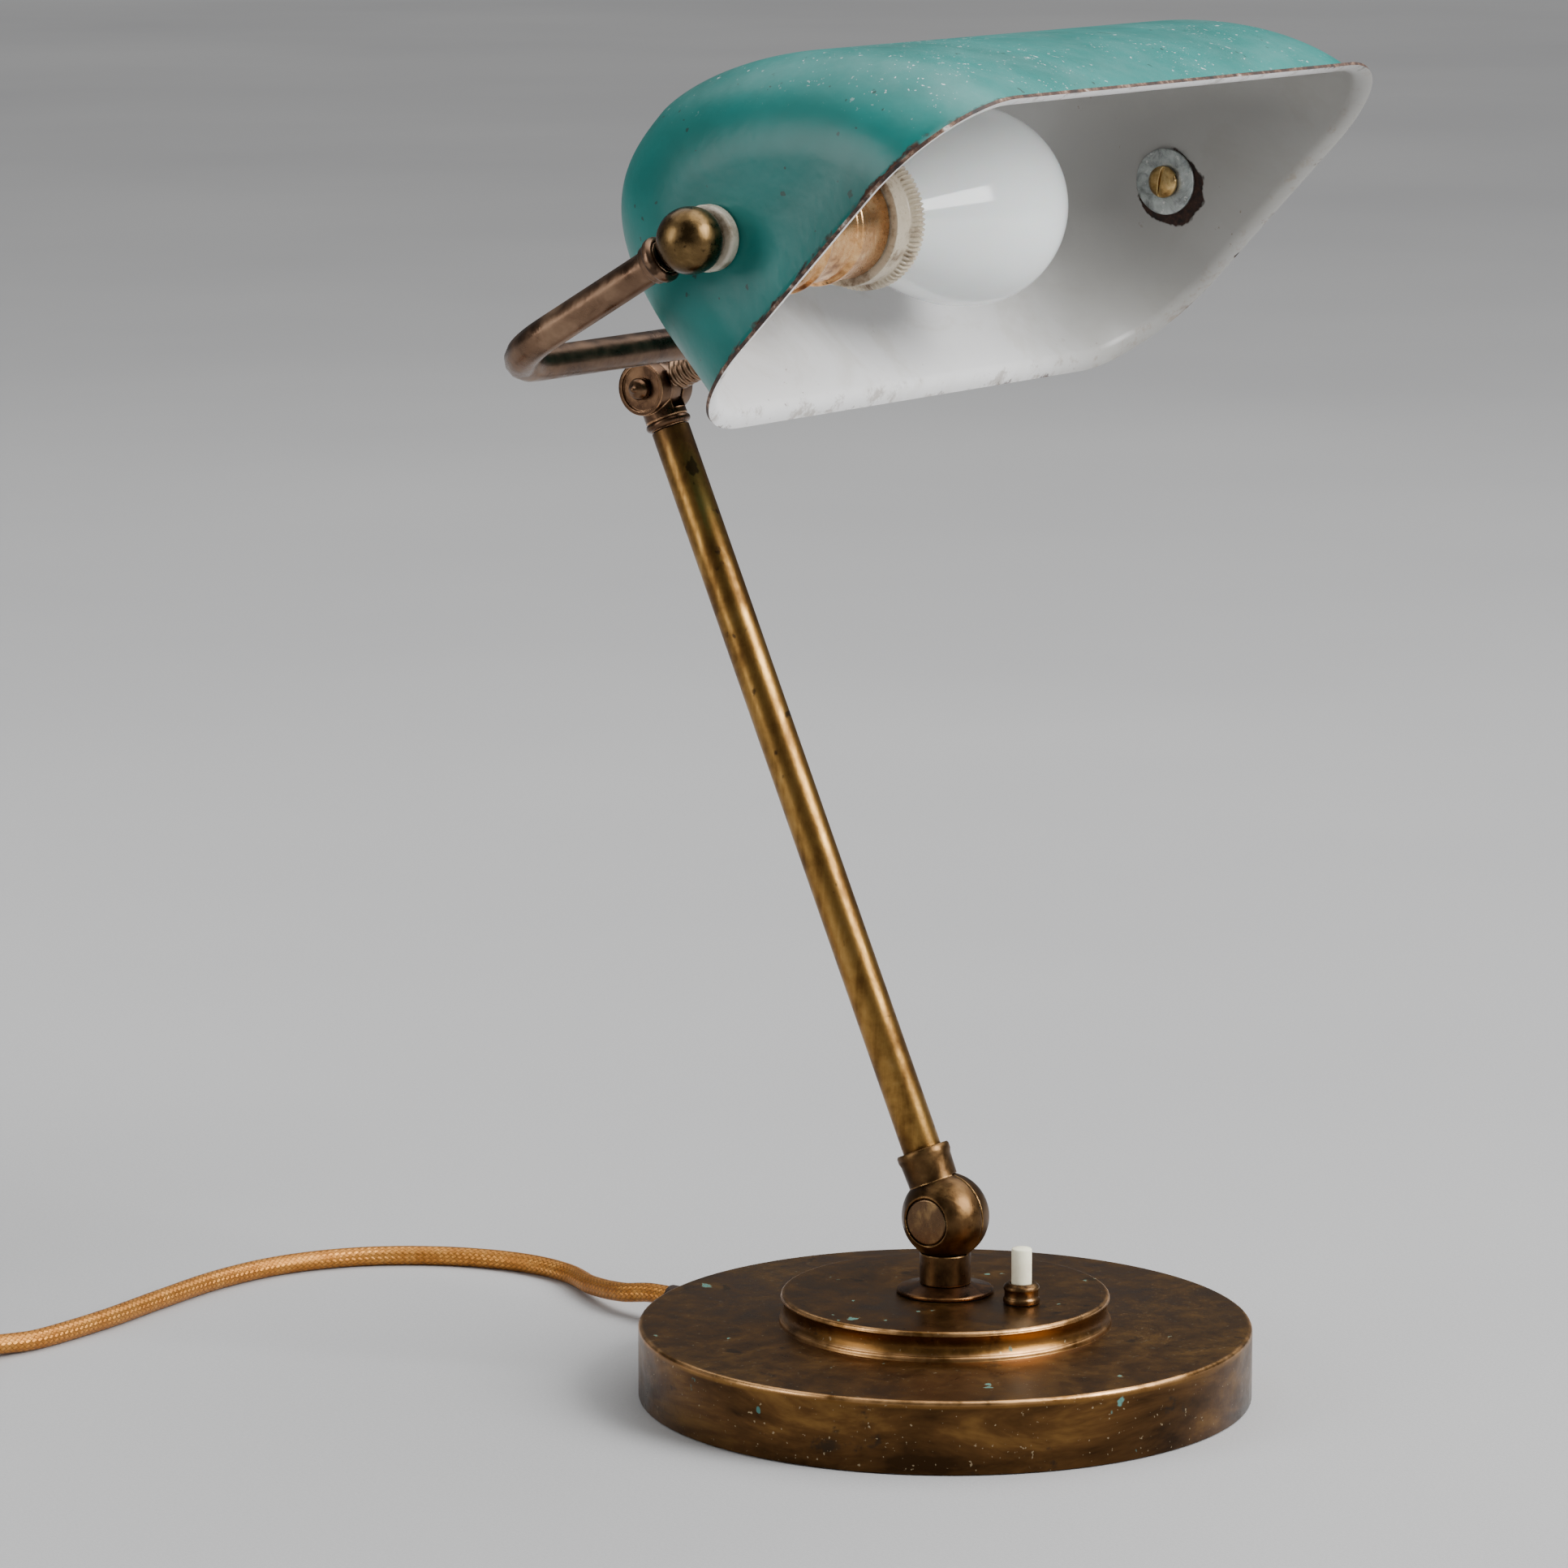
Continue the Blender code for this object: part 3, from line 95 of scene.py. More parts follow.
# Lower knuckle, a ball in two halves that clamp on an axis along X
BALL_R = 0.0132
BALL_Z = 0.0548
BALL_FACE = 0.0107               # flat end face of each half, from the ball's centre
BALL_SLIT = 0.0005
KNUCKLE_SCREW_R = 0.0022
KNUCKLE_HEAD_R = 0.0042
KNUCKLE_HEAD_DEPTH = 0.0050      # screw head's pocket, from the flat end face
KNUCKLE_CAP_R = 0.0070
KNUCKLE_CAP_T = 0.0012
KNUCKLE_WASHER_R = 0.0083
KNUCKLE_WASHER_T = 0.0008

# Arm
ARM_LEAN = math.radians(23.5)
ARM_LENGTH = 0.2658              # between the two hinge axes
ARM_R = 0.0059
ARM_WALL = 0.0009
SOCKET_R = 0.0082
SOCKET_TOP = 0.0212              # from the ball's centre
SOCKET_GRIP = 0.0065             # depth of the arm in its socket

# Upper knuckle, a fork that clamps a tongue on an axis along X
FORK_R = 0.0082
FORK_HALF = 0.0080
SLOT_HALF = 0.0030
NECK_R = 0.0066
BEAD_R = 0.0070
BEAD_DROP = 0.0118               # from the hinge axis down to the bead
SPIGOT_LENGTH = 0.0110           # the fork's spigot in the arm's tube
UPPER_BOLT_R = 0.0020

# Yoke
STEM_LENGTH = 0.0417             # upper hinge to the yoke's cross bar
STEM_RISE = math.radians(26.6)
STEM_R = 0.0041
YOKE_DEPTH = 0.0806              # cross bar to the shade's pivot axis
YOKE_RISE = math.radians(30.1)
YOKE_R = 0.0050
YOKE_WALL = 0.0010
YOKE_BEND = 0.0245
END_BALL_R = 0.0095
END_FLAT = 0.0065                # flat on an end ball, from its centre
COLLAR_WALL = 0.0005
COLLAR_R = YOKE_R + 0.0018        # over the collar's bead
COLLAR_LENGTH = 0.0052
SLEEVE_WALL = 0.0022             # sleeve brazed on the cross bar
SLEEVE_HALF = 0.0085
PIN_REACH = 0.0055               # threaded pins in the end balls' bores

# Shade, an arched trough drawn from sheet steel
SHADE_TILT = math.radians(46.0)
SHADE_HALF = 0.1223              # half the length over the flat ends, at the pivot
SHADE_FLARE = 0.0018             # widening of each end towards the mouth
SHADE_FLARE_DEPTH = 0.0185
SHADE_REAR = 0.0472              # crown line to the rear side, at the mouth
SHADE_FRONT = 0.0783             # crown line to the front side, at the mouth
SHADE_REAR_POWER = 2.8           # squareness of the rear half of the section
SHADE_FRONT_POWER = 1.52         # squareness of its front half
SHADE_HEIGHT = 0.0740            # mouth to crown
CROWN_FORWARD = 0.0022           # pivot axis to crown line
PIVOT_DEPTH = 0.0295             # mouth to pivot axis
SHADE_CORNER = 0.0322
SHADE_SHEET = 0.0011
LIP_OUT = 0.0045
LIP_DEEP = 0.0030
PIVOT_HOLE_R = 0.0053

# Pivots and lampholder, on the shade's pivot axis
SPACER_R = 0.0094
SPACER_T = 0.0040
YOKE_HALF = SHADE_HALF + SPACER_T + END_FLAT + 2 * GAP  # to the centres of the end balls
WASHER_R = 0.0102
WASHER_T = 0.0010
LAMP_NIPPLE_R = 0.0049
PIVOT_SCREW_R = 0.0026
PIVOT_HEAD_R = 0.0049
HOLDER_R = 0.0176
HOLDER_WALL = 0.0010
HOLDER_CAP_LENGTH = 0.0245
HOLDER_BODY_LENGTH = 0.0365
HOLDER_RING_R = 0.0205
HOLDER_RING_LENGTH = 0.0135
LAMP_CAP_R = 0.0130
LAMP_CAP_LENGTH = 0.0235
LAMP_DEPTH = 0.0110              # lamp's cap in the lampholder's body
BULB_R = 0.0293
BULB_NECK_LENGTH = 0.0540        # from the lamp's cap to the globe's centre
BULB_WALL = 0.0010

# Push-button switch
SWITCH_X = 0.0012
SWITCH_Y = -0.0264
SWITCH_R = 0.0055
SWITCH_COLLAR_H = 0.0061
BUTTON_R = 0.00305
BUTTON_TOP = 0.0486
BUTTON_SEAT = 0.0220             # underside of the button, on its spring
SLEEVE_R = 0.0046

# Mains cord
CORD_R = 0.0031
CORD_PITCH = 0.0065              # between neighbouring turns
EXIT_ANGLE = math.radians(10.0)  # from +Y towards +X
EXIT_Z = 0.0090
GLAND_LENGTH = 0.0250
GLAND_R = 0.0050
COIL_CENTRE = (-0.175, 0.309)
COIL_R = 0.0370                  # middle of its turns
COIL_FLOOR = 0.0012              # the tie's strap lies under the turns
PLUG_LENGTH = 0.036
PLUG_WIDTH = 0.026
PLUG_T = 0.0136
PLUG_PIN_R = 0.0020
PLUG_PIN_LENGTH = 0.019
PLUG_PIN_SPACING = 0.0186
PLUG_ANGLE = math.radians(25.0)
TIE_T = 0.0009
TIE_WIDTH = 0.0080

# Number of sides of turned pieces
FINE, MEDIUM, COARSE = 192, 96, 48
ARC_FINENESS = 4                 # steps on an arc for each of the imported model's

ALONG_X = (0, math.pi / 2, 0)         # turns a piece's own Z to +X
ALONG_MINUS_X = (0, -math.pi / 2, 0)  # turns a piece's own Z to -X


# ---------------------------------------------------------------- scratch objects and fine pieces

def make_collection(name):
    collection = bpy.data.collections.new(name)
    bpy.context.scene.collection.children.link(collection)
    return collection


PARTS = make_collection("scratch_parts")
CUTTERS = make_collection("scratch_cutters")
FINE_PIECES = make_collection("fine_pieces")
RING_TEETH = 84                  # knurled edge of the lampholder's ring
KNURL_DEPTH = 0.0010


def pivot(name, location, parent=None, turn=None):
    empty = bpy.data.objects.new(name, None)
    PARTS.objects.link(empty)
    empty.parent = parent
    empty.location = location
    if turn is not None:
        empty.rotation_euler = turn
    return empty


def add(name, data, cutter=False, parent=None, at=(0, 0, 0), turn=(0, 0, 0)):
    """A draft object. A cutter is only cut out of a piece or joined on to it."""
    obj = bpy.data.objects.new(name + "_draft", data)
    (CUTTERS if cutter else PARTS).objects.link(obj)
    obj.parent = parent
    obj.location = at
    obj.rotation_euler = turn
    obj.hide_render = cutter
    return obj


def baked(draft, name):
    """The draft's finished shape as a mesh object at the origin, in the row's frame."""
    source = draft.evaluated_get(bpy.context.evaluated_depsgraph_get())
    mesh = bpy.data.meshes.new_from_object(source)
    mesh.transform(draft.matrix_world)
    shape = bmesh.new()
    shape.from_mesh(mesh)
    bmesh.ops.remove_doubles(shape, verts=shape.verts, dist=0.000002)
    bmesh.ops.dissolve_degenerate(shape, dist=0.000002, edges=shape.edges)
    bmesh.ops.recalc_face_normals(shape, faces=shape.faces)
    shape.to_mesh(mesh)
    shape.free()
    if name == "lampholder_ring_fine":
        knurl(mesh)
    keep_in_box(mesh)
    mesh.shade_smooth()
    mesh.set_sharp_from_angle(angle=math.radians(34))
    made = bpy.data.objects.new(name, mesh)
    FINE_PIECES.objects.link(made)
    return made


def keep_in_box(mesh):
    """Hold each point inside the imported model's box, which finer steps can pass by a hair."""
    low, high = CAD_BOX
    for vertex in mesh.vertices:
        vertex.co = [min(max(c, a), b) for c, a, b in zip(vertex.co, low, high)]


def knurl(mesh):
    """Round teeth on the outer edge of the lampholder's ring."""
    for vertex in mesh.vertices:
        y, z = vertex.co.y - PIVOT_AT.y, vertex.co.z - PIVOT_AT.z
        r = math.hypot(y, z)
        if r > HOLDER_RING_R - 0.0012:
            dip = (0.5 + 0.5 * math.cos(RING_TEETH * math.atan2(z, y))) ** 1.5
            share = (r - KNURL_DEPTH * dip) / r
            vertex.co.y, vertex.co.z = PIVOT_AT.y + y * share, PIVOT_AT.z + z * share


def tube(name, points, radius, sides=16):
    """A round tube along close points, with a braid map of (metres along, share round)."""
    frames = []
    up = Vector((0, 0, 1))
    for i, here in enumerate(points):
        ahead = (points[min(i + 1, len(points) - 1)] - points[max(i - 1, 0)]).normalized()
        side = ahead.cross(up).normalized()
        up = side.cross(ahead).normalized()
        frames.append((here, side, up.copy()))
    travelled = [0.0]
    for a, b in zip(points, points[1:]):
        travelled.append(travelled[-1] + (b - a).length)
    shape = bmesh.new()
    layer = shape.loops.layers.uv.new("braid")
    loops = []
    for here, side, lift in frames:
        loops.append([shape.verts.new(here + radius * (math.cos(math.tau * k / sides) * side
                                                       + math.sin(math.tau * k / sides) * lift))
                      for k in range(sides)])
    for i in range(len(loops) - 1):
        for k in range(sides):
            j = (k + 1) % sides
            face = shape.faces.new((loops[i][k], loops[i][j], loops[i + 1][j], loops[i + 1][k]))
            for loop, (along, share) in zip(face.loops, ((i, k), (i, k + 1), (i + 1, k + 1), (i + 1, k))):
                loop[layer].uv = (travelled[along], share / sides)
    for end, turn in ((loops[0], 1), (loops[-1], -1)):
        shape.faces.new(end[::turn])
    bmesh.ops.recalc_face_normals(shape, faces=shape.faces)
    mesh = bpy.data.meshes.new(name)
    shape.to_mesh(mesh)
    shape.free()
    keep_in_box(mesh)
    mesh.shade_smooth()
    mesh.set_sharp_from_angle(angle=math.radians(50))
    made = bpy.data.objects.new(name, mesh)
    FINE_PIECES.objects.link(made)
    return made, travelled[-1]


def coil_turns():
    """Centre line of the coil: the bottom layer from its outside in, then the top one back out."""
    radii = (COIL_R + CORD_PITCH, COIL_R, COIL_R - CORD_PITCH)
    low = COIL_FLOOR + CORD_R
    high = low + 2 * CORD_R + GAP / 2
    # (turned so far in degrees, radius, height)
    stages = ((0, radii[0], low), (270, radii[0], low), (320, radii[1], low), (630, radii[1], low),
              (680, radii[2], low), (945, radii[2], low), (990, radii[2], high),
              (1250, radii[2], high), (1300, radii[1], high), (1610, radii[1], high),
              (1660, radii[0], high), (1980, radii[0], high))
    points = []
    for (start, r0, z0), (end, r1, z1) in zip(stages, stages[1:]):
        count = max(2, round((end - start) / 5))
        for k in range(count):
            t = k / count
            blend = t * t * (3 - 2 * t)
            angle = math.radians(-90 - (start + (end - start) * t))
            r = r0 + (r1 - r0) * blend
            points.append(Vector((COIL_CENTRE[0] + r * math.cos(angle),
                                  COIL_CENTRE[1] + r * math.sin(angle), z0 + (z1 - z0) * blend)))
    r = radii[0]
    angle = math.radians(-90 - 1980)
    points.append(Vector((COIL_CENTRE[0] + r * math.cos(angle), COIL_CENTRE[1] + r * math.sin(angle),
                          high)))
    return points


# ---------------------------------------------------------------- tools

def soften(profile, closed, reach=0.0003):
    """Replace each sharp corner of a profile with a small round of three points."""
    made = []
    count = len(profile)
    for i, point in enumerate(profile):
        if not closed and i in (0, count - 1):
            made.append(point)
            continue
        here = Vector(point)
        back = Vector(profile[i - 1]) - here
        ahead = Vector(profile[(i + 1) % count]) - here
        if min(back.length, ahead.length) < 0.00008 or back.angle(-ahead, 0.0) < math.radians(28):
            made.append(point)
            continue
        step = min(reach, 0.4 * back.length, 0.4 * ahead.length)
        start, end = here + back.normalized() * step, here + ahead.normalized() * step
        middle = (start + end) / 4 + here / 2
        made += [tuple(start), tuple(middle), tuple(end)]
    return made


def turned(name, profile, sides=MEDIUM, closed=False, cutter=False, **place):
    """Turn a profile of (radius, height) about Z. A closed profile makes a ring."""
    if not cutter:
        profile = soften(profile, closed)
    mesh = bpy.data.meshes.new(name)
    edges = [(i, i + 1) for i in range(len(profile) - 1)]
    if closed:
        edges.append((len(profile) - 1, 0))
    mesh.from_pydata([(r, 0.0, z) for r, z in profile], edges, [])
    obj = add(name, mesh, cutter, **place)
    screw = obj.modifiers.new("turn", "SCREW")
    screw.axis = "Z"
    screw.angle = math.tau
    screw.steps = sides
    screw.render_steps = sides
    screw.use_merge_vertices = True
    screw.merge_threshold = 0.00001
    screw.use_smooth_shade = True
    return obj


def disc(name, radius, low, high, sides=MEDIUM, **place):
    """A solid cylinder between two heights."""
    return turned(name, [(0, high), (radius, high), (radius, low), (0, low)], sides, **place)


def ring(name, inner, outer, low, high, sides=MEDIUM, **place):
    """A cylinder with a round hole."""
    profile = [(outer, high), (outer, low), (inner, low), (inner, high)]
    return turned(name, profile, sides, closed=True, **place)


def arc(centre, radius, start, end, steps):
    """Points on an arc, angles in degrees from +radius towards +height."""
    steps *= ARC_FINENESS
    angles = [math.radians(start + (end - start) * i / steps) for i in range(steps + 1)]
    return [(centre[0] + radius * math.cos(a), centre[1] + radius * math.sin(a)) for a in angles]


def box(name, low, high, **place):
    """A block between two corners."""
    mesh = bpy.data.meshes.new(name)
    shape = bmesh.new()
    bmesh.ops.create_cube(shape, size=1.0)
    size = Vector(high) - Vector(low)
    bmesh.ops.scale(shape, vec=size, verts=shape.verts)
    bmesh.ops.translate(shape, vec=(Vector(high) + Vector(low)) / 2, verts=shape.verts)
    shape.to_mesh(mesh)
    shape.free()
    return add(name, mesh, **place)


def combine(obj, other, operation="DIFFERENCE"):
    """Cut the other shape out of an object, or join it on."""
    modifier = obj.modifiers.new(other.name, "BOOLEAN")
    modifier.operation = operation
    modifier.object = other
    modifier.solver = "EXACT"
    return obj


def drill(obj, name, radius, low, high, sides=COARSE, **place):
    """Cut a round hole."""
    combine(obj, disc(name, radius, low, high, sides, cutter=True, **place))


def rod(name, points, radius, resolution, **place):
    """A round bar or cord along a polyline, with filled caps."""
    curve = bpy.data.curves.new(name, "CURVE")
    curve.dimensions = "3D"
    curve.bevel_depth = radius
    curve.bevel_resolution = resolution
    curve.use_fill_caps = True
    spline = curve.splines.new("POLY")
    spline.points.add(len(points) - 1)
    for point, place_at in zip(spline.points, points):
        point.co = (*place_at, 1.0)
    return add(name, curve, **place)


def as_mesh(obj):
    """Change a curve object to a mesh, so that it can be cut."""
    bpy.context.view_layer.update()
    evaluated = obj.evaluated_get(bpy.context.evaluated_depsgraph_get())
    mesh = bpy.data.meshes.new_from_object(evaluated)
    shape = bmesh.new()
    shape.from_mesh(mesh)
    bmesh.ops.remove_doubles(shape, verts=shape.verts, dist=0.00001)
    bmesh.ops.recalc_face_normals(shape, faces=shape.faces)
    shape.to_mesh(mesh)
    shape.free()
    name, parent, world = obj.name, obj.parent, obj.matrix_world.copy()
    hidden = obj.hide_render
    collection = obj.users_collection[0]
    bpy.data.objects.remove(obj, do_unlink=True)
    made = bpy.data.objects.new(name, mesh)
    collection.objects.link(made)
    made.parent = parent
    made.matrix_world = world
    made.hide_render = hidden
    return made


def smooth_route(points, spacing):
    """Read points at an even spacing from a smooth curve through the given ones."""
    knots = [Vector(p) for p in points]
    knots = [2 * knots[0] - knots[1]] + knots + [2 * knots[-1] - knots[-2]]
    dense = []
    for a, b, c, d in zip(knots, knots[1:], knots[2:], knots[3:]):
        for step in range(24):
            t = step / 24
            dense.append(0.5 * (2 * b + (c - a) * t + (2 * a - 5 * b + 4 * c - d) * t ** 2
                                + (3 * b - a - 3 * c + d) * t ** 3))
    dense.append(knots[-2])
    total = sum((q - p).length for p, q in zip(dense, dense[1:]))
    count = max(2, round(total / spacing))
    wanted, walked, route = 1, 0.0, [dense[0]]
    for p, q in zip(dense, dense[1:]):
        length = (q - p).length
        while wanted < count and walked + length >= wanted * total / count:
            route.append(p.lerp(q, (wanted * total / count - walked) / length))
            wanted += 1
        walked += length
    route.append(dense[-1])
    return route


# ---------------------------------------------------------------- base

def base_outline():
    """The base's outer profile, from the centre hole out and down to the rim's foot."""
    hole = NIPPLE_R + BORE_GAP
    edge = 0.0011
    painted_shade_under_head = [(hole, STEP_Z)]
    painted_shade_under_head += arc((STEP_R - edge, STEP_Z - edge), edge, 90, 0, 2)
    # a shallow cove, then a rounded foot
    painted_shade_under_head += arc((STEP_R + 0.0043, STEP_Z - 0.00435), COVE_R, 143.7, 216.3, 4)
    painted_shade_under_head += arc((STEP_R - 0.0004, STEP_Z - 0.0083), STEP_FOOT_R, 60, 0, 2)
    painted_shade_under_head += [(STEP_R + 0.0006, BASE_RIM_Z + 0.0003)]
    painted_shade_under_head += arc((BASE_R - 0.0012, BASE_RIM_Z - 0.0012), 0.0012, 90, 0, 2)
    painted_shade_under_head += [(BASE_R, GAP)]
    return painted_shade_under_head


def make_base():
    outer = base_outline()
    inside = [(BASE_R - BASE_SHEET, GAP), (BASE_R - BASE_SHEET, BASE_RIM_Z - BASE_SHEET - 0.0006),
              (STEP_R - 0.0010, BASE_RIM_Z - BASE_SHEET), (STEP_R - 0.0050, BASE_RIM_Z),
              (STEP_R - 0.0050, STEP_Z - BASE_SHEET), (NIPPLE_R + BORE_GAP, STEP_Z - BASE_SHEET)]
    cover = turned("base_cover", outer + inside, FINE, closed=True)
    drill(cover, "switch_hole", SLEEVE_R + BORE_GAP, STEP_Z - 0.004, STEP_Z + 0.004,
          at=(SWITCH_X, SWITCH_Y, 0))
    drill(cover, "gland_hole", GLAND_R - 0.0004, -0.006, 0.006, at=exit_point(BASE_R), turn=exit_turn())
    inner = BASE_R - BASE_SHEET - 2 * GAP
    disc("felt_pad", inner, 0.0, FELT_T, FINE)


def make_stem():
    painted_shade_under_head = STEP_Z + GAP
    lip = 0.0009
    hole = NIPPLE_R + BORE_GAP
    profile = [(POST_R + 0.0003, painted_shade_under_head + FLANGE_T), (POST_R + 0.0012, painted_shade_under_head + FLANGE_T - 0.0004),
               (FLANGE_R - lip, painted_shade_under_head + lip * 1.4), (FLANGE_R, painted_shade_under_head + lip), (FLANGE_R, painted_shade_under_head),
               (hole, painted_shade_under_head), (hole, painted_shade_under_head + FLANGE_T)]
    turned("stem_flange", profile, MEDIUM, closed=True)


# ---------------------------------------------------------------- lower knuckle and arm

def ball_profile(radius, face, steps):
    """A ball of which the top is cut flat: its outline from the axis down to the equator."""
    start = math.degrees(math.asin(face / radius))
    return [(0, face)] + arc((0, 0), radius, start, 0, steps)


def knuckle_half(name, outward, parent):
    """One half of the lower ball, with its flat end face outward."""
    half = BALL_SLIT / 2
    outline = [p for p in ball_profile(BALL_R, BALL_FACE, 6) if p[1] > half]
    rim = math.sqrt(BALL_R ** 2 - half ** 2)
    return turned(name, outline + [(rim, half), (0, half)], MEDIUM, turn=outward, parent=parent)


def knuckle_bores(obj, outward, parent):
    """Screw hole, head pocket and cap recess of one half."""
    for name, radius, depth, sides in (("_cap_recess", KNUCKLE_CAP_R, KNUCKLE_CAP_T, MEDIUM),
                                       ("_head_pocket", KNUCKLE_HEAD_R, KNUCKLE_HEAD_DEPTH, COARSE)):
        drill(obj, obj.name + name, radius + GAP, BALL_FACE - depth, BALL_R, sides, parent=parent,
              turn=outward)
    drill(obj, obj.name + "_screw_bore", KNUCKLE_SCREW_R + BORE_GAP, -0.002, BALL_R, parent=parent,
          turn=outward)


def clear_half_ball(obj, outward, parent):
    """Cut away the space that the other half of the ball and the washer turn in."""
    room = BALL_R + GAP
    face = -BALL_SLIT / 2
    pocket_r = KNUCKLE_WASHER_R + GAP
    pocket = -KNUCKLE_WASHER_T / 2 - GAP
    outline = [(0, room)] + arc((0, 0), room, 75, 0, 6)
    outline += [(room, face), (pocket_r, face), (pocket_r, pocket), (0, pocket)]
    cutter = turned(obj.name + "_room", outline, MEDIUM, parent=parent, turn=outward, cutter=True)
    combine(obj, cutter)


def make_lower_knuckle(arm):
    centre = (0, 0, BALL_Z)
    ball = pivot("lower_knuckle_centre", centre)
    # rear half, with the post down to the base
    post = knuckle_half("knuckle_rear_half", ALONG_X, ball)
    foot = STEP_Z + 2 * GAP + FLANGE_T - BALL_Z
    shaft = disc("post_shaft", POST_R, foot, -0.0060, MEDIUM, parent=ball, cutter=True)
    combine(post, shaft, "UNION")
    clear_half_ball(post, ALONG_MINUS_X, ball)
    knuckle_bores(post, ALONG_X, ball)
    drill(post, "post_bore", NIPPLE_R + BORE_GAP, foot - 0.002, -BALL_R + 0.0006, parent=ball)
    # front half, with the arm's socket
    front = knuckle_half("knuckle_front_half", ALONG_MINUS_X, arm)
    sleeve = [(SOCKET_R - 0.0004, SOCKET_TOP), (SOCKET_R, SOCKET_TOP - 0.0006),
              (SOCKET_R, SOCKET_TOP - 0.0022), (SOCKET_R - 0.0004, SOCKET_TOP - 0.0034),
              (SOCKET_R - 0.0008, 0.0060), (0, 0.0060)]
    sleeve_body = turned("socket_sleeve", [(0, SOCKET_TOP)] + sleeve, MEDIUM, parent=arm, cutter=True)
    combine(front, sleeve_body, "UNION")
    clear_half_ball(front, ALONG_X, arm)
    knuckle_bores(front, ALONG_MINUS_X, arm)
    drill(front, "socket_bore", ARM_R + BORE_GAP, SOCKET_TOP - SOCKET_GRIP, SOCKET_TOP + 0.002, MEDIUM,
          parent=arm)
    # two flush caps
    for name, parent, outward in (("knuckle_cap_front", arm, ALONG_MINUS_X),
                                  ("knuckle_cap_rear", ball, ALONG_X)):
        low = BALL_FACE - KNUCKLE_CAP_T + GAP / 2
        profile = [(0, BALL_FACE), (KNUCKLE_CAP_R - 0.0003, BALL_FACE),
                   (KNUCKLE_CAP_R, BALL_FACE - 0.0003), (KNUCKLE_CAP_R, low), (0, low)]
        turned(name, profile, MEDIUM, parent=parent, turn=outward)


def make_arm(arm):
    low = SOCKET_TOP - SOCKET_GRIP + GAP
    high = ARM_LENGTH - BEAD_DROP - 0.0018
    ring("arm_tube", ARM_R - ARM_WALL, ARM_R, low, high, MEDIUM, parent=arm)
    # top fitting: spigot, bead, neck and fork
    painted_shade_under_head = {"parent": arm, "at": (0, 0, ARM_LENGTH)}
    fork = disc("arm_fork", FORK_R, -FORK_HALF, FORK_HALF, MEDIUM, **painted_shade_under_head, turn=ALONG_X)
    spigot = ARM_R - ARM_WALL - BORE_GAP
    bead_z = -BEAD_DROP
    neck = [(0, -0.0045), (NECK_R, -0.0045), (NECK_R, bead_z + 0.0014)]
    neck += arc((BEAD_R - 0.0013, bead_z), 0.0013, 75, -90, 4)
    neck += [(ARM_R, bead_z - 0.0015), (spigot, bead_z - 0.0015), (spigot, bead_z - SPIGOT_LENGTH),
             (0, bead_z - SPIGOT_LENGTH)]
    neck_body = turned("fork_neck", neck, MEDIUM, **painted_shade_under_head, cutter=True)
    combine(fork, neck_body, "UNION")
    slot = box("fork_slot", (-SLOT_HALF, -0.012, -FORK_R - GAP), (SLOT_HALF, 0.012, 0.012),
               **painted_shade_under_head, cutter=True)
    combine(fork, slot)
    drill(fork, "fork_bore", UPPER_BOLT_R + BORE_GAP, -0.012, 0.012, **painted_shade_under_head, turn=ALONG_X)
    dish_depth = 0.0009
    drill(fork, "fork_dish", FORK_R - 0.0013, FORK_HALF - dish_depth, FORK_HALF + 0.002, MEDIUM, **painted_shade_under_head,
          turn=ALONG_MINUS_X)
    # bolt, its head and its pointed nut
    floor = FORK_HALF - dish_depth
    bolt = [(0, FORK_HALF + 0.0028), (0.0032, FORK_HALF + 0.0022), (0.0045, FORK_HALF + 0.0010),
            (0.0045, FORK_HALF + GAP), (UPPER_BOLT_R, FORK_HALF + GAP), (UPPER_BOLT_R, -floor - 0.0022),
            (0, -floor - 0.0022)]
    turned("upper_bolt", bolt, COARSE, **painted_shade_under_head, turn=ALONG_X)
    seat = floor + GAP
    inner = UPPER_BOLT_R + BORE_GAP
    nut = [(0, seat + 0.0052), (0.0007, seat + 0.0050), (0.0011, seat + 0.0040), (0.0026, seat + 0.0032),
           (0.0034, seat + 0.0018), (0.0034, seat), (inner, seat), (inner, seat + 0.0026),
           (0, seat + 0.0026)]
    turned("upper_nut", nut, COARSE, **painted_shade_under_head, turn=ALONG_MINUS_X)


# ---------------------------------------------------------------- yoke

def yoke_points(end_gap):
    """Centre line of the yoke in its own frame: pivot axis along X, bar at -YOKE_DEPTH on Z."""
    corner_x = YOKE_HALF - YOKE_BEND
    corner_z = -YOKE_DEPTH + YOKE_BEND
    bend = [(-corner_x + p[0], 0, corner_z + p[1])
            for p in arc((0, 0), YOKE_BEND, 180, 270, 6)]
    left = [(-YOKE_HALF, 0, -end_gap)] + bend
    return left + [(0, 0, -YOKE_DEPTH)] + [(-x, y, z) for x, y, z in reversed(left)]


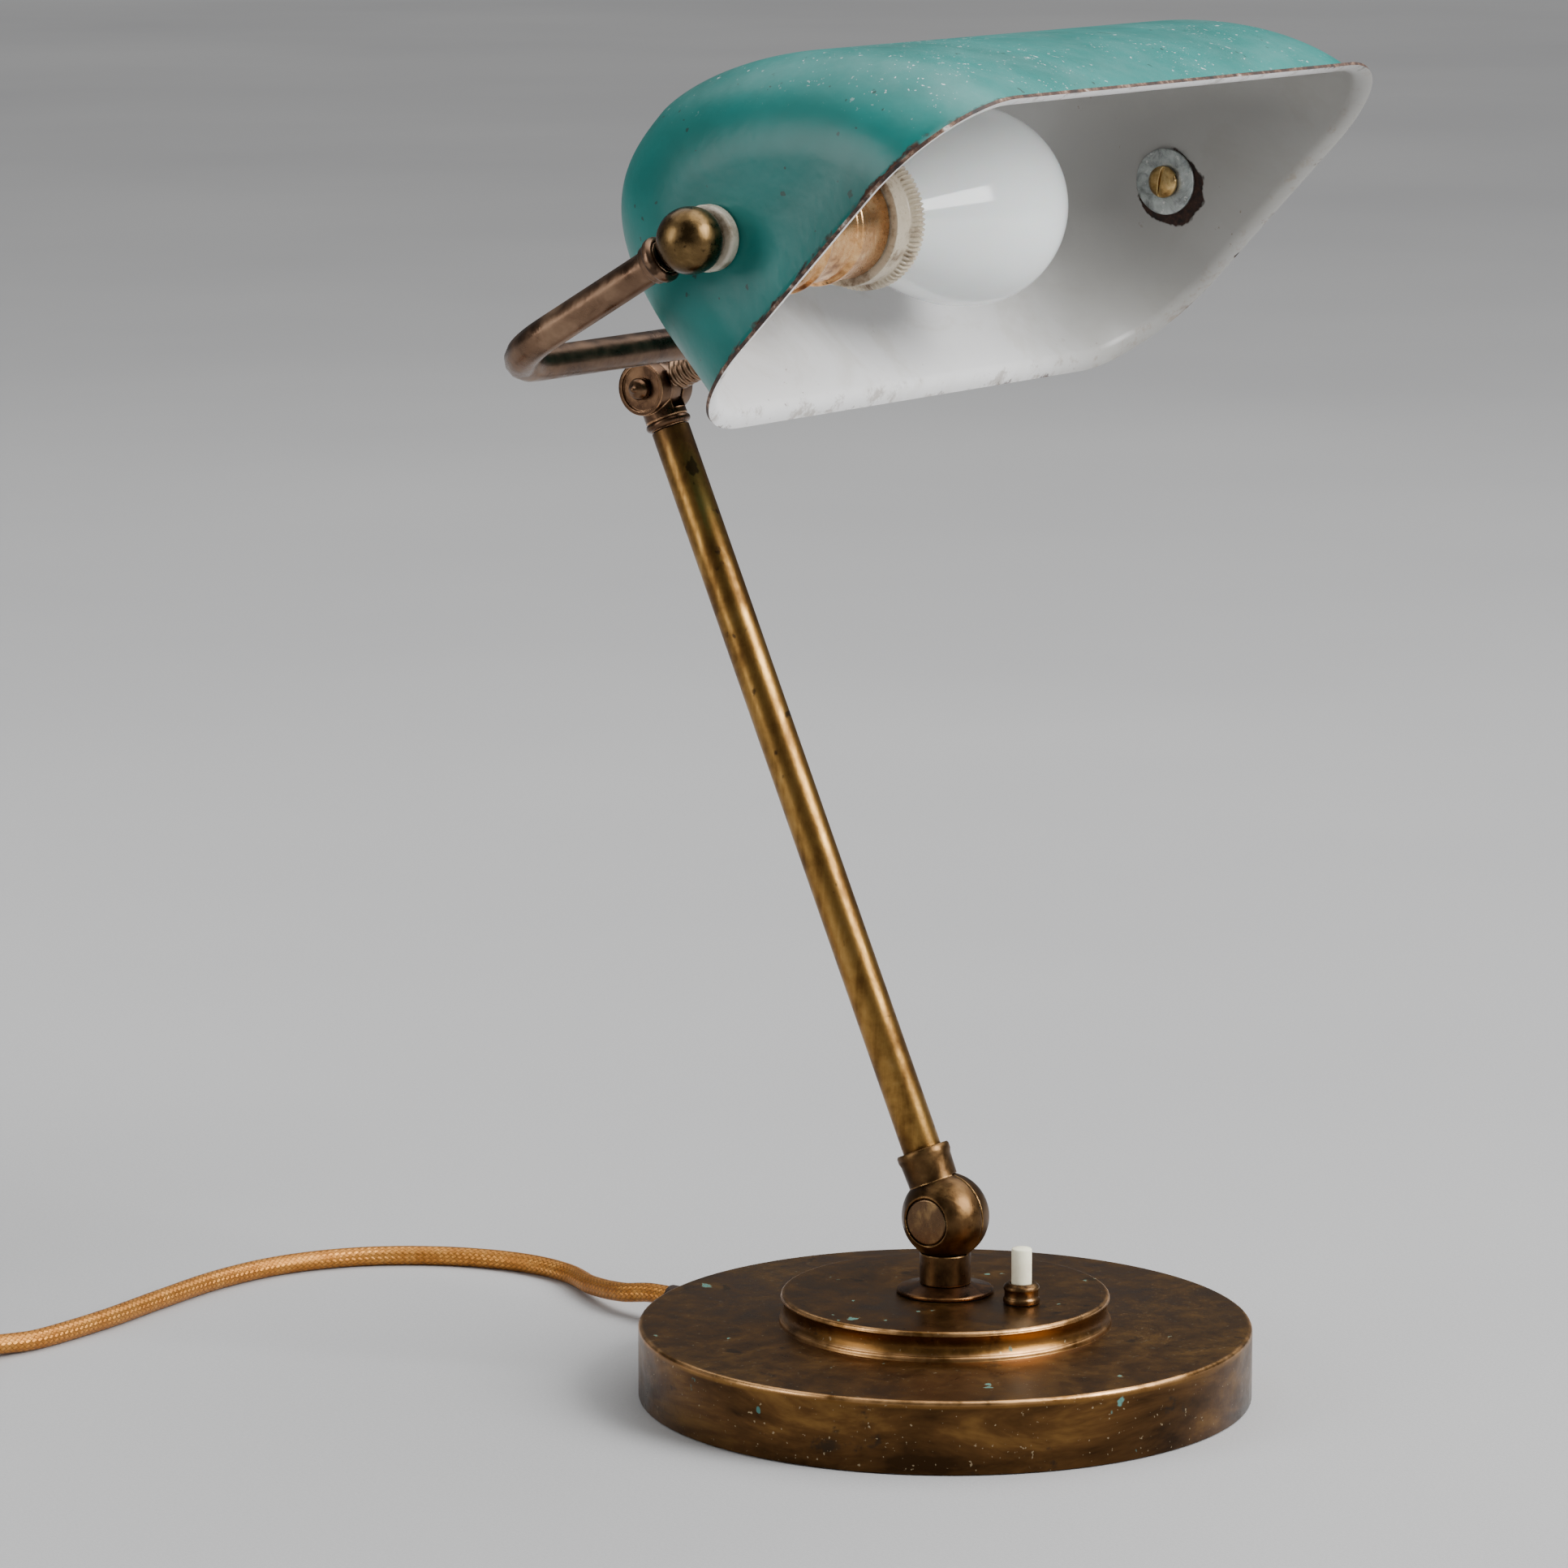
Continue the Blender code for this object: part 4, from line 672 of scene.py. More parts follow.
def make_yoke(head, yoke):
    ball_room = END_BALL_R + GAP
    tube = as_mesh(rod("yoke_tube", yoke_points(ball_room), YOKE_R, 4, parent=yoke))
    bore = as_mesh(rod("yoke_bore", yoke_points(ball_room - 0.002), YOKE_R - YOKE_WALL, 2,
                       parent=yoke, cutter=True))
    combine(tube, bore)
    for side, name in ((-1, "left"), (1, "right")):
        collar_low = -ball_room - COLLAR_LENGTH
        hole = YOKE_R + BORE_GAP
        neck = hole + COLLAR_WALL
        collar = [(neck, -ball_room), (COLLAR_R, -ball_room - 0.0010),
                  (COLLAR_R, -ball_room - 0.0026), (neck, -ball_room - 0.0034),
                  (neck, collar_low), (hole, collar_low), (hole, -ball_room)]
        turned("yoke_collar_" + name, collar, MEDIUM, closed=True, parent=yoke,
               at=(side * YOKE_HALF, 0, 0))
    # stem: tongue in the fork, ribbed rod, and the sleeve brazed on the bar
    tongue_r = FORK_R - GAP
    tongue_half = SLOT_HALF - GAP
    stem = disc("yoke_stem", tongue_r, -tongue_half, tongue_half, MEDIUM, parent=head, turn=ALONG_X)
    rise = math.pi / 2 - STEM_RISE
    ribs = [(0, STEM_LENGTH - 0.0020), (STEM_R, STEM_LENGTH - 0.0020)]
    for i in range(4):
        rib = 0.0170 - 0.0020 * i
        ribs += [(STEM_R, rib), (STEM_R + 0.0007, rib - 0.0005), (STEM_R + 0.0007, rib - 0.0012),
                 (STEM_R, rib - 0.0017)]
    start = FORK_R + 0.0010
    ribs += [(STEM_R, start), (tongue_half, start - 0.0006), (tongue_half, 0.0050), (0, 0.0050)]
    shaft = turned("stem_shaft", ribs, COARSE, parent=head, turn=(rise, 0, 0), cutter=True)
    combine(stem, shaft, "UNION")
    bar = (0, -STEM_LENGTH * math.cos(STEM_RISE), STEM_LENGTH * math.sin(STEM_RISE))
    sleeve = disc("stem_sleeve", YOKE_R + SLEEVE_WALL, -SLEEVE_HALF, SLEEVE_HALF, MEDIUM,
                  parent=head, at=bar, turn=ALONG_X, cutter=True)
    combine(stem, sleeve, "UNION")
    drill(stem, "stem_bar_room", YOKE_R + BORE_GAP, -0.012, 0.012, parent=head, at=bar, turn=ALONG_X)
    drill(stem, "tongue_bore", UPPER_BOLT_R + BORE_GAP, -0.012, 0.012, parent=head, turn=ALONG_X)


def make_end_balls(yoke):
    start = math.degrees(math.asin(END_FLAT / END_BALL_R))
    for outward, side, name, bore_r in ((ALONG_X, -1, "left", LAMP_NIPPLE_R),
                                        (ALONG_MINUS_X, 1, "right", PIVOT_SCREW_R)):
        outline = [(0, END_FLAT)] + arc((0, 0), END_BALL_R, start, -90, 8)
        outline[-1] = (0, -END_BALL_R)
        ball = turned("end_ball_" + name, outline, MEDIUM, parent=yoke,
                      at=(side * YOKE_HALF, 0, 0), turn=outward)
        bore = disc("end_ball_bore_" + name, bore_r + BORE_GAP, END_FLAT - PIN_REACH - 0.0010,
                    END_FLAT + 0.002, COARSE, parent=yoke, at=(side * YOKE_HALF, 0, 0),
                    turn=outward, cutter=True)
        combine(ball, bore)


# ---------------------------------------------------------------- shade

def arch_point(inset, turn):
    """A point of the arched section: (across, above the mouth), turn 0 at the rear to 1 at the front.

    Each half is a quarter of a superellipse, the rear one squarer than the front one.
    """
    height = SHADE_HEIGHT - inset
    angle = math.pi * turn
    across, up = math.cos(angle), math.sin(angle)
    if turn <= 0.5:
        power = 2 / SHADE_REAR_POWER
        reach = SHADE_REAR - inset
    else:
        power = 2 / SHADE_FRONT_POWER
        reach = -(SHADE_FRONT - inset)
    return (reach * abs(across) ** power - CROWN_FORWARD, height * max(up, 0.0) ** power)


def shade_rows(around, corner_steps):
    """Rows of points over the trough, from the middle of one flat end to the other."""
    def row(inset, x, share=1.0):
        points = []
        for i in range(around + 1):
            y, z = arch_point(inset, i / around)
            y = (y + CROWN_FORWARD) * share - CROWN_FORWARD
            z *= share
            flare = SHADE_FLARE * max(0.0, 1 - z / SHADE_FLARE_DEPTH) ** 2
            points.append((-x - flare, y, z))
        return points

    core = SHADE_CORNER
    rows = [[(-SHADE_HALF - SHADE_FLARE, -CROWN_FORWARD, 0.0)] * (around + 1)]
    rows += [row(core, SHADE_HALF, share) for share in (0.1, 0.2, 0.3, 0.4, 0.5, 0.6, 0.7, 0.8, 0.9)]
    for k in range(corner_steps + 1):
        angle = math.pi / 2 * (1 - k / corner_steps)
        rows.append(row(core * (1 - math.cos(angle)), SHADE_HALF - core + core * math.sin(angle)))
    straight = SHADE_HALF - core
    rows += [[(-straight * (1 - k / 12), y, z) for _, y, z in rows[-1]] for k in range(1, 13)]
    return rows + [[(-x, y, z) for x, y, z in row] for row in reversed(rows[:-1])]


def make_shade(tilt):
    around, corner_steps = 96, 28
    rows = shade_rows(around, corner_steps)
    shape = bmesh.new()
    grid = []
    for row in rows:
        same = len(set(row)) == 1
        made = shape.verts.new(row[0]) if same else None
        grid.append([made if same else shape.verts.new(p) for p in row])
    for row, following in zip(grid, grid[1:]):
        for i in range(around):
            corners = [row[i], following[i], following[i + 1], row[i + 1]]
            unique = [v for n, v in enumerate(corners) if v not in corners[:n]]
            shape.faces.new(unique)
    # the lip: the mouth's border pushed outward and down in small steps
    border = [row[0] for row in grid] + [row[-1] for row in reversed(grid[1:-1])]
    count = len(border)
    outward = []
    for i in range(count):
        along = border[(i + 1) % count].co - border[i - 1].co
        outward.append(Vector((-along.y, along.x, 0)).normalized())
    last = border
    for share, drop in ((0.02, 0.12), (0.06, 0.28), (0.12, 0.44), (0.24, 0.62), (0.42, 0.78), (0.64, 0.90),
                        (0.84, 0.97), (1.00, 1.00)):
        edge = [shape.verts.new(v.co + out * LIP_OUT * share - Vector((0, 0, LIP_DEEP * drop)))
                for v, out in zip(border, outward)]
        for i in range(count):
            j = (i + 1) % count
            shape.faces.new([last[i], edge[i], edge[j], last[j]])
        last = edge
    bmesh.ops.recalc_face_normals(shape, faces=shape.faces)
    bmesh.ops.translate(shape, vec=(0, 0, LIP_DEEP - PIVOT_DEPTH), verts=shape.verts)
    mesh = bpy.data.meshes.new("shade")
    shape.to_mesh(mesh)
    shape.free()
    shade = add("shade", mesh, parent=tilt)
    for name in ("outside", "inside", "rim"):
        mesh.materials.append(bpy.data.materials.new("draft_" + name))
    sheet = shade.modifiers.new("sheet", "SOLIDIFY")
    sheet.thickness = SHADE_SHEET
    sheet.offset = -1.0
    sheet.material_offset = 1
    sheet.material_offset_rim = 2
    for side, outward_turn in ((-1, ALONG_MINUS_X), (1, ALONG_X)):
        hole = disc("pivot_hole_" + ("left" if side < 0 else "right"), PIVOT_HOLE_R, SHADE_HALF - 0.004,
                    SHADE_HALF + 0.004, COARSE, parent=tilt, turn=outward_turn, cutter=True)
        combine(shade, hole)


def make_pivots(yoke, tilt):
    outer = SHADE_HALF + GAP
    inner = SHADE_HALF - SHADE_SHEET - GAP
    for name, outward, pin in (("left", ALONG_MINUS_X, LAMP_NIPPLE_R), ("right", ALONG_X, PIVOT_SCREW_R)):
        edge = 0.0006
        hole = pin + BORE_GAP
        spacer = [(SPACER_R - edge, outer + SPACER_T), (SPACER_R, outer + SPACER_T - edge),
                  (SPACER_R, outer + edge), (SPACER_R - edge, outer), (hole, outer),
                  (hole, outer + SPACER_T)]
        turned("spacer_" + name, spacer, MEDIUM, closed=True, parent=yoke, turn=outward)
        ring("pivot_washer_" + name, hole, WASHER_R, inner - WASHER_T, inner, MEDIUM,
             parent=tilt, turn=outward)
    seat = inner - WASHER_T - GAP
    tip = YOKE_HALF - END_FLAT + PIN_REACH
    dome = [(PIVOT_SCREW_R, tip), (PIVOT_SCREW_R, seat), (PIVOT_HEAD_R, seat),
            (PIVOT_HEAD_R, seat - 0.0012), (PIVOT_HEAD_R * 0.72, seat - 0.0023), (0, seat - 0.0028)]
    screw = turned("pivot_screw", [(0, tip)] + dome, COARSE, parent=tilt, turn=ALONG_X)
    slot = box("screw_slot", (-0.0070, -0.0005, seat - 0.0035), (0.0070, 0.0005, seat - 0.0013),
               parent=pivot("screw_slot_turn", (0, 0, 0), tilt, ALONG_X),
               turn=(0, 0, math.radians(55)), cutter=True)
    combine(screw, slot)


# ---------------------------------------------------------------- lampholder and lamp

def make_lampholder(tilt):
    """Everything here is turned about the pivot axis, measured from the shade's left end inward."""
    holder = pivot("lampholder_axis", (-SHADE_HALF, 0, 0), tilt, ALONG_X)
    low = SHADE_SHEET + GAP + WASHER_T + GAP
    cap_top = low + HOLDER_CAP_LENGTH
    wall = HOLDER_WALL
    hole = LAMP_NIPPLE_R + BORE_GAP
    dome = [(HOLDER_R, cap_top), (HOLDER_R, cap_top - 0.0020), (HOLDER_R - 0.0012, cap_top - 0.0045)]
    dome += arc((0.0070, cap_top - 0.0080), 0.0085, 20, -55, 3)
    dome += [(0.0082, low + 0.0045), (0.0076, low)]
    inside = [(r - wall, z) for r, z in dome[:-1]]
    inside = [(r, max(z, low + wall)) for r, z in reversed(inside)]
    cap = dome + [(hole, low), (hole, low + wall)] + inside
    turned("lampholder_cap", cap, MEDIUM, closed=True, parent=holder)
    body_low = cap_top + GAP
    body_top = body_low + HOLDER_BODY_LENGTH
    steps = [(HOLDER_R - 0.0012, body_top), (HOLDER_R - 0.0012, body_low + 0.0240),
             (HOLDER_R - 0.0002, body_low + 0.0232), (HOLDER_R - 0.0002, body_low + 0.0215),
             (HOLDER_R - 0.0014, body_low + 0.0205), (HOLDER_R - 0.0014, body_low + 0.0080),
             (HOLDER_R + 0.0006, body_low + 0.0062), (HOLDER_R + 0.0010, body_low + 0.0045),
             (HOLDER_R, body_low + 0.0030), (HOLDER_R, body_low)]
    bore = HOLDER_R - 0.0014 - wall
    turned("lampholder_body", steps + [(bore, body_low), (bore, body_top)], MEDIUM,
           closed=True, parent=holder)
    lamp_low = body_top - LAMP_DEPTH
    ring_low = body_top + GAP
    ring_top = ring_low + HOLDER_RING_LENGTH
    collar = [(HOLDER_RING_R - 0.0030, ring_top), (HOLDER_RING_R - 0.0006, ring_top - 0.0006),
              (HOLDER_RING_R, ring_top - 0.0016), (HOLDER_RING_R, ring_top - 0.0052),
              (HOLDER_RING_R - 0.0008, ring_top - 0.0060), (HOLDER_RING_R - 0.0018, ring_top - 0.0066),
              (HOLDER_RING_R - 0.0018, ring_low + 0.0004), (LAMP_CAP_R + 0.0012, ring_low + 0.0004),
              (LAMP_CAP_R + 0.0012, ring_top)]
    turned("lampholder_ring", collar, 8 * RING_TEETH, closed=True, parent=holder)
    cap_high = lamp_low + LAMP_CAP_LENGTH
    glass_low = cap_high + GAP
    neck_r = LAMP_CAP_R - 0.0002
    centre = glass_low + BULB_NECK_LENGTH

    def glass(wall_inset):
        rise = [(neck_r - wall_inset + (BULB_R - neck_r) * math.sin(math.pi / 2 * i / 30),
                 glass_low + BULB_NECK_LENGTH * i / 30) for i in range(31)]
        return rise + arc((0, centre), BULB_R - wall_inset, 3, 90, 8)

    outer = list(reversed(glass(0.0)))
    inner = glass(BULB_WALL)
    outer[0] = (0, outer[0][1])
    inner[-1] = (0, inner[-1][1])
    turned("bulb", outer + inner, MEDIUM, parent=holder)


# ---------------------------------------------------------------- switch

def make_switch():
    switch = pivot("switch_axis", (SWITCH_X, SWITCH_Y, 0))
    bore = BUTTON_R + BORE_GAP
    painted_shade_under_head = STEP_Z + GAP + SWITCH_COLLAR_H
    low = STEP_Z + GAP
    collar = [(bore + 0.0004, painted_shade_under_head), (SWITCH_R - 0.0012, painted_shade_under_head - 0.0001), (SWITCH_R - 0.0002, painted_shade_under_head - 0.0010),
              (SWITCH_R, painted_shade_under_head - 0.0018), (SWITCH_R - 0.0004, painted_shade_under_head - 0.0026),
              (SWITCH_R - 0.0004, low + 0.0018), (SWITCH_R, low + 0.0014), (SWITCH_R, low),
              (bore, low), (bore, painted_shade_under_head - 0.0004)]
    turned("switch_collar", collar, MEDIUM, closed=True, parent=switch)
    seat = BUTTON_SEAT
    button = [(0, BUTTON_TOP)] + arc((0, BUTTON_TOP - 0.0092), 0.0092, 84, 71.5, 2)
    button += [(BUTTON_R, BUTTON_TOP - 0.0010), (BUTTON_R, seat), (0, seat)]
    turned("switch_button", button, MEDIUM, parent=switch)


# ---------------------------------------------------------------- mains cord

def exit_direction():
    return Vector((math.sin(EXIT_ANGLE), math.cos(EXIT_ANGLE), 0))


def exit_point(radius):
    return exit_direction() * radius + Vector((0, 0, EXIT_Z))


def exit_turn():
    """Turns a piece's own Z to the cord's way out of the base."""
    return (-math.pi / 2, 0, -EXIT_ANGLE)


def cord_route():
    """Centre line from the gland to the coil, the way it lies on the table."""
    start = exit_point(BASE_R + GLAND_LENGTH + GAP)
    ahead = exit_direction()
    lying = CORD_R
    first = [start, start + ahead * 0.010 - Vector((0, 0, 0.0006)),
             start + ahead * 0.022 - Vector((0, 0, 0.0026))]
    table = [(0.0335, 0.1560), (0.0450, 0.1740), (0.0480, 0.1960), (0.0410, 0.2210), (0.0250, 0.2430),
             (0.0020, 0.2570), (-0.0250, 0.2620), (-0.0550, 0.2610), (-0.0850, 0.2590),
             (-0.1150, 0.2600)]
    flat = [Vector((x, y, lying)) for x, y in table]
    flat[0].z = lying + 0.0010
    bottom_turn = COIL_FLOOR + CORD_R
    outer = COIL_R + CORD_PITCH
    reach = math.sqrt((outer + CORD_R + GAP) ** 2 - (outer - CORD_R) ** 2) + 2 * GAP
    entry = Vector((COIL_CENTRE[0] + reach, COIL_CENTRE[1] - outer, bottom_turn))
    return first + flat + [entry + Vector((0.012, 0, 0)), entry]


def tail_route():
    """Centre line from the coil's top turn to the plug."""
    outer = COIL_R + CORD_PITCH
    reach = math.sqrt((outer + CORD_R + GAP) ** 2 - (outer - CORD_R) ** 2) + 2 * GAP
    top_turn = COIL_FLOOR + CORD_R + 2 * CORD_R + GAP / 2
    leave = Vector((COIL_CENTRE[0] + reach, COIL_CENTRE[1] + outer, top_turn))
    back = plug_back()
    toward = Vector((math.cos(PLUG_ANGLE), math.sin(PLUG_ANGLE), 0))
    return [leave, leave + Vector((0.009, 0.0006, -0.0006)), back - toward * 0.016, back]


def plug_back():
    return Vector((-0.117, 0.3610, PLUG_T / 2))


def make_cord_pieces():
    """The gland and the coil's tie."""
    out = exit_point(BASE_R)
    inward = -0.0050
    gland = [(0, GLAND_LENGTH), (CORD_R + 0.0006, GLAND_LENGTH), (GLAND_R - 0.0006, 0.0040),
             (GLAND_R, 0.0032), (GLAND_R, 0.0004), (GLAND_R - 0.0008, 0.0004),
             (GLAND_R - 0.0008, inward), (0, inward)]
    turned("cord_gland", gland, COARSE, at=out, turn=exit_turn())
    inner = COIL_R - CORD_PITCH - CORD_R
    outer = COIL_R + CORD_PITCH + CORD_R
    low = COIL_FLOOR
    high = COIL_FLOOR + 4 * CORD_R + GAP / 2
    # the tie's strap goes once round the turns, on the coil's far side
    near = math.sqrt(inner ** 2 - (TIE_WIDTH / 2) ** 2) - 2 * GAP
    strap = ((near, -TIE_WIDTH, low - GAP), (outer + GAP, TIE_WIDTH, high + GAP))
    turn = (0, 0, math.radians(200))
    tie = box("cord_tie", (near - TIE_T, -TIE_WIDTH / 2, low - GAP - TIE_T),
              (outer + GAP + TIE_T, TIE_WIDTH / 2, high + GAP + TIE_T),
              at=(*COIL_CENTRE, 0), turn=turn)
    space = box("cord_tie_space", *strap, at=(*COIL_CENTRE, 0), turn=turn, cutter=True)
    combine(tie, space)


def make_plug():
    turn = (0, 0, PLUG_ANGLE)
    back = plug_back() + Vector((math.cos(PLUG_ANGLE), math.sin(PLUG_ANGLE), 0)) * GAP
    outline = [(0.0, 0.0055), (0.006, 0.0070), (0.014, PLUG_WIDTH / 2 - 0.0010),
               (0.020, PLUG_WIDTH / 2), (PLUG_LENGTH, PLUG_WIDTH / 2)]
    outline += [(x, -y) for x, y in reversed(outline)]
    curve = bpy.data.curves.new("plug_body", "CURVE")
    curve.dimensions = "2D"
    curve.fill_mode = "BOTH"
    curve.extrude = PLUG_T / 2
    spline = curve.splines.new("POLY")
    spline.points.add(len(outline) - 1)
    for point, (x, y) in zip(spline.points, outline):
        point.co = (x, y, 0, 1)
    spline.use_cyclic_u = True
    body = as_mesh(add("plug_body", curve, at=back, turn=turn))
    bevel = body.modifiers.new("edges", "BEVEL")
    bevel.width = 0.0015
    bevel.segments = 2
    bevel.limit_method = "ANGLE"
    bevel.angle_limit = math.radians(50)
    for side, name in ((-1, "a"), (1, "b")):
        root = Vector((PLUG_LENGTH + GAP, side * PLUG_PIN_SPACING / 2, 0))
        at = back + Matrix.Rotation(PLUG_ANGLE, 3, "Z") @ root
        pin = [(0, PLUG_PIN_LENGTH), (PLUG_PIN_R * 0.6, PLUG_PIN_LENGTH),
               (PLUG_PIN_R, PLUG_PIN_LENGTH - 0.0010), (PLUG_PIN_R, 0), (0, 0)]
        turned("plug_pin_" + name, pin, COARSE, at=at, turn=(0, math.pi / 2, PLUG_ANGLE))


# ---------------------------------------------------------------- materials

class Value:
    """A number that a node gives, with the usual signs for sums and products."""

    def __init__(self, look, socket):
        self.look = look
        self.socket = socket

    def __add__(self, other):
        return self.look.math("ADD", self, other)

    def __sub__(self, other):
        return self.look.math("SUBTRACT", self, other)

    def __rsub__(self, other):
        return self.look.math("SUBTRACT", other, self)

    def __mul__(self, other):
        return self.look.math("MULTIPLY", self, other)


class Look:
    """A node material built step by step. Positions are the row frame's metres."""

    def __init__(self, name):
        self.material = bpy.data.materials.new(name)
        self.material.use_nodes = True
        self.tree = self.material.node_tree
        self.shader = self.tree.nodes["Principled BSDF"]
        self.place = Value(self, self.new("ShaderNodeTexCoord").outputs["Object"])
        self.relief = None

    def new(self, kind):
        return self.tree.nodes.new(kind)

    def link(self, value, socket):
        if isinstance(value, Value):
            self.tree.links.new(value.socket, socket)
        elif isinstance(value, (tuple, list)) and len(value) == 3 and socket.type == "RGBA":
            socket.default_value = (*value, 1.0)
        else:
            socket.default_value = value

    def set(self, **values):
        for name, value in values.items():
            self.link(value, self.shader.inputs[name.replace("_", " ")])
        return self

    def math(self, operation, a, b=0.0):
        node = self.new("ShaderNodeMath")
        node.operation = operation
        self.link(a, node.inputs[0])
        self.link(b, node.inputs[1])
        return Value(self, node.outputs[0])

    def span(self, value, low, high, out_low=0.0, out_high=1.0):
        node = self.new("ShaderNodeMapRange")
        node.interpolation_type = "SMOOTHSTEP"
        self.link(value, node.inputs["Value"])
        for name, number in (("From Min", low), ("From Max", high), ("To Min", out_low),
                             ("To Max", out_high)):
            self.link(number, node.inputs[name])
        return Value(self, node.outputs["Result"])

    def mapped(self, scale=(1, 1, 1), turn=(0, 0, 0), shift=(0, 0, 0), source=None):
        node = self.new("ShaderNodeMapping")
        node.inputs["Scale"].default_value = scale
        node.inputs["Rotation"].default_value = turn
        node.inputs["Location"].default_value = shift
        self.link(source or self.place, node.inputs["Vector"])
        return Value(self, node.outputs[0])

    def noise(self, scale, detail=4.0, rough=0.55, bend=0.0, source=None, dimensions="3D"):
        node = self.new("ShaderNodeTexNoise")
        node.noise_dimensions = dimensions
        if dimensions == "1D":
            self.link(source, node.inputs["W"])
        else:
            self.link(source or self.place, node.inputs["Vector"])
        node.inputs["Scale"].default_value = scale
        node.inputs["Detail"].default_value = detail
        node.inputs["Roughness"].default_value = rough
        node.inputs["Distortion"].default_value = bend
        return Value(self, node.outputs["Fac"])

    def patches(self, scale, detail, rough, low, high):
        """1 where a noise is over high, 0 where it is under low."""
        return self.span(self.noise(scale, detail, rough), low, high)

    def axes(self, source=None):
        node = self.new("ShaderNodeSeparateXYZ")
        self.link(source or self.place, node.inputs[0])
        return [Value(self, output) for output in node.outputs]

    def mix(self, share, first, second, kind="MIX"):
        node = self.new("ShaderNodeMix")
        node.data_type = "RGBA"
        node.blend_type = kind
        self.link(share, node.inputs["Factor"])
        self.link(first, node.inputs["A"])
        self.link(second, node.inputs["B"])
        return Value(self, node.outputs["Result"])

    def ramp(self, value, *stops):
        node = self.new("ShaderNodeValToRGB")
        self.link(value, node.inputs[0])
        band = node.color_ramp.elements
        while len(band) < len(stops):
            band.new(0.5)
        for element, (at, colour) in zip(band, stops):
            element.position = at
            element.color = (*colour, 1.0)
        return Value(self, node.outputs["Color"])

    def bump(self, height, depth, strength=1.0):
        """Relief of this depth in metres where height goes from 0 to 1."""
        node = self.new("ShaderNodeBump")
        node.inputs["Strength"].default_value = strength
        node.inputs["Distance"].default_value = depth
        self.link(height, node.inputs["Height"])
        if self.relief is not None:
            self.link(self.relief, node.inputs["Normal"])
        self.relief = Value(self, node.outputs[0])
        self.link(self.relief, self.shader.inputs["Normal"])
        return self

    def rounded(self, radius):
        """Shade sharp edges as small rounds, and give back how far each point is into an edge."""
        node = self.new("ShaderNodeBevel")
        node.samples = 6
        node.inputs["Radius"].default_value = radius
        self.relief = Value(self, node.outputs[0])
        flat = Value(self, self.new("ShaderNodeNewGeometry").outputs["Normal"])
        dot = self.new("ShaderNodeVectorMath")
        dot.operation = "DOT_PRODUCT"
        self.link(self.relief, dot.inputs[0])
        self.link(flat, dot.inputs[1])
        return self.span(Value(self, dot.outputs["Value"]), 0.995, 0.90)

    def facing_up(self):
        normal = self.new("ShaderNodeNewGeometry").outputs["Normal"]
        return self.axes(Value(self, normal))[2]

    def length(self, across, up):
        return self.math("SQRT", across * across + up * up)

    def radius(self):
        """Distance from the base's axis."""
        x, y, _ = self.axes()
        return self.length(x, y)

    def ringed(self, radius, height, reach):
        """1 on the circle of this radius and height about the base's axis, 0 past the reach."""
        off = self.length(self.radius() - radius, self.axes()[2] - height)
        return self.span(off, 0.0, reach, 1.0, 0.0)


def patina(name, dark, mid, gold, scale=1.0, shine=0.34, edge=0.0006, worn=0.6):
    """Aged brown metal: blotches, fine scratches, dark spots, a little verdigris and bright edges."""
    look = Look(name)
    blotch = look.noise(16 * scale, 5, 0.62, 0.6)
    fine = look.noise(75 * scale, 5, 0.65, 0.4)
    tone = blotch * 0.62 + fine * 0.38
    colour = look.ramp(tone, (0.36, dark), (0.5, mid), (0.66, gold))
    spots = look.patches(120 * scale, 3, 0.5, 0.66, 0.74)
    colour = look.mix(spots * 0.75, colour, tuple(c * 0.25 for c in dark))
    green = look.patches(42, 4, 0.6, 0.655, 0.7) * look.patches(300, 3, 0.6, 0.42, 0.62)
    colour = look.mix(green * 0.8, colour, (0.05, 0.16, 0.13))
    rim = look.rounded(edge)
    rim = rim * look.patches(160, 4, 0.7, 0.38, 0.62)
    colour = look.mix(rim * worn, colour, tuple(min(1.0, c * 3.2) for c in gold))
    scratch = look.noise(900, 2, 0.6, source=look.mapped((1, 1, 0.12), (0.5, 0.2, 0.9)))
    rough = look.span(fine, 0.3, 0.75, shine - 0.1, shine + 0.16) + green * 0.4
    look.set(Base_Color=colour, Roughness=rough, Metallic=1.0 - green)
    look.bump(look.noise(380, 4, 0.6), 0.00006)
    look.bump(scratch, 0.00003)
    return look


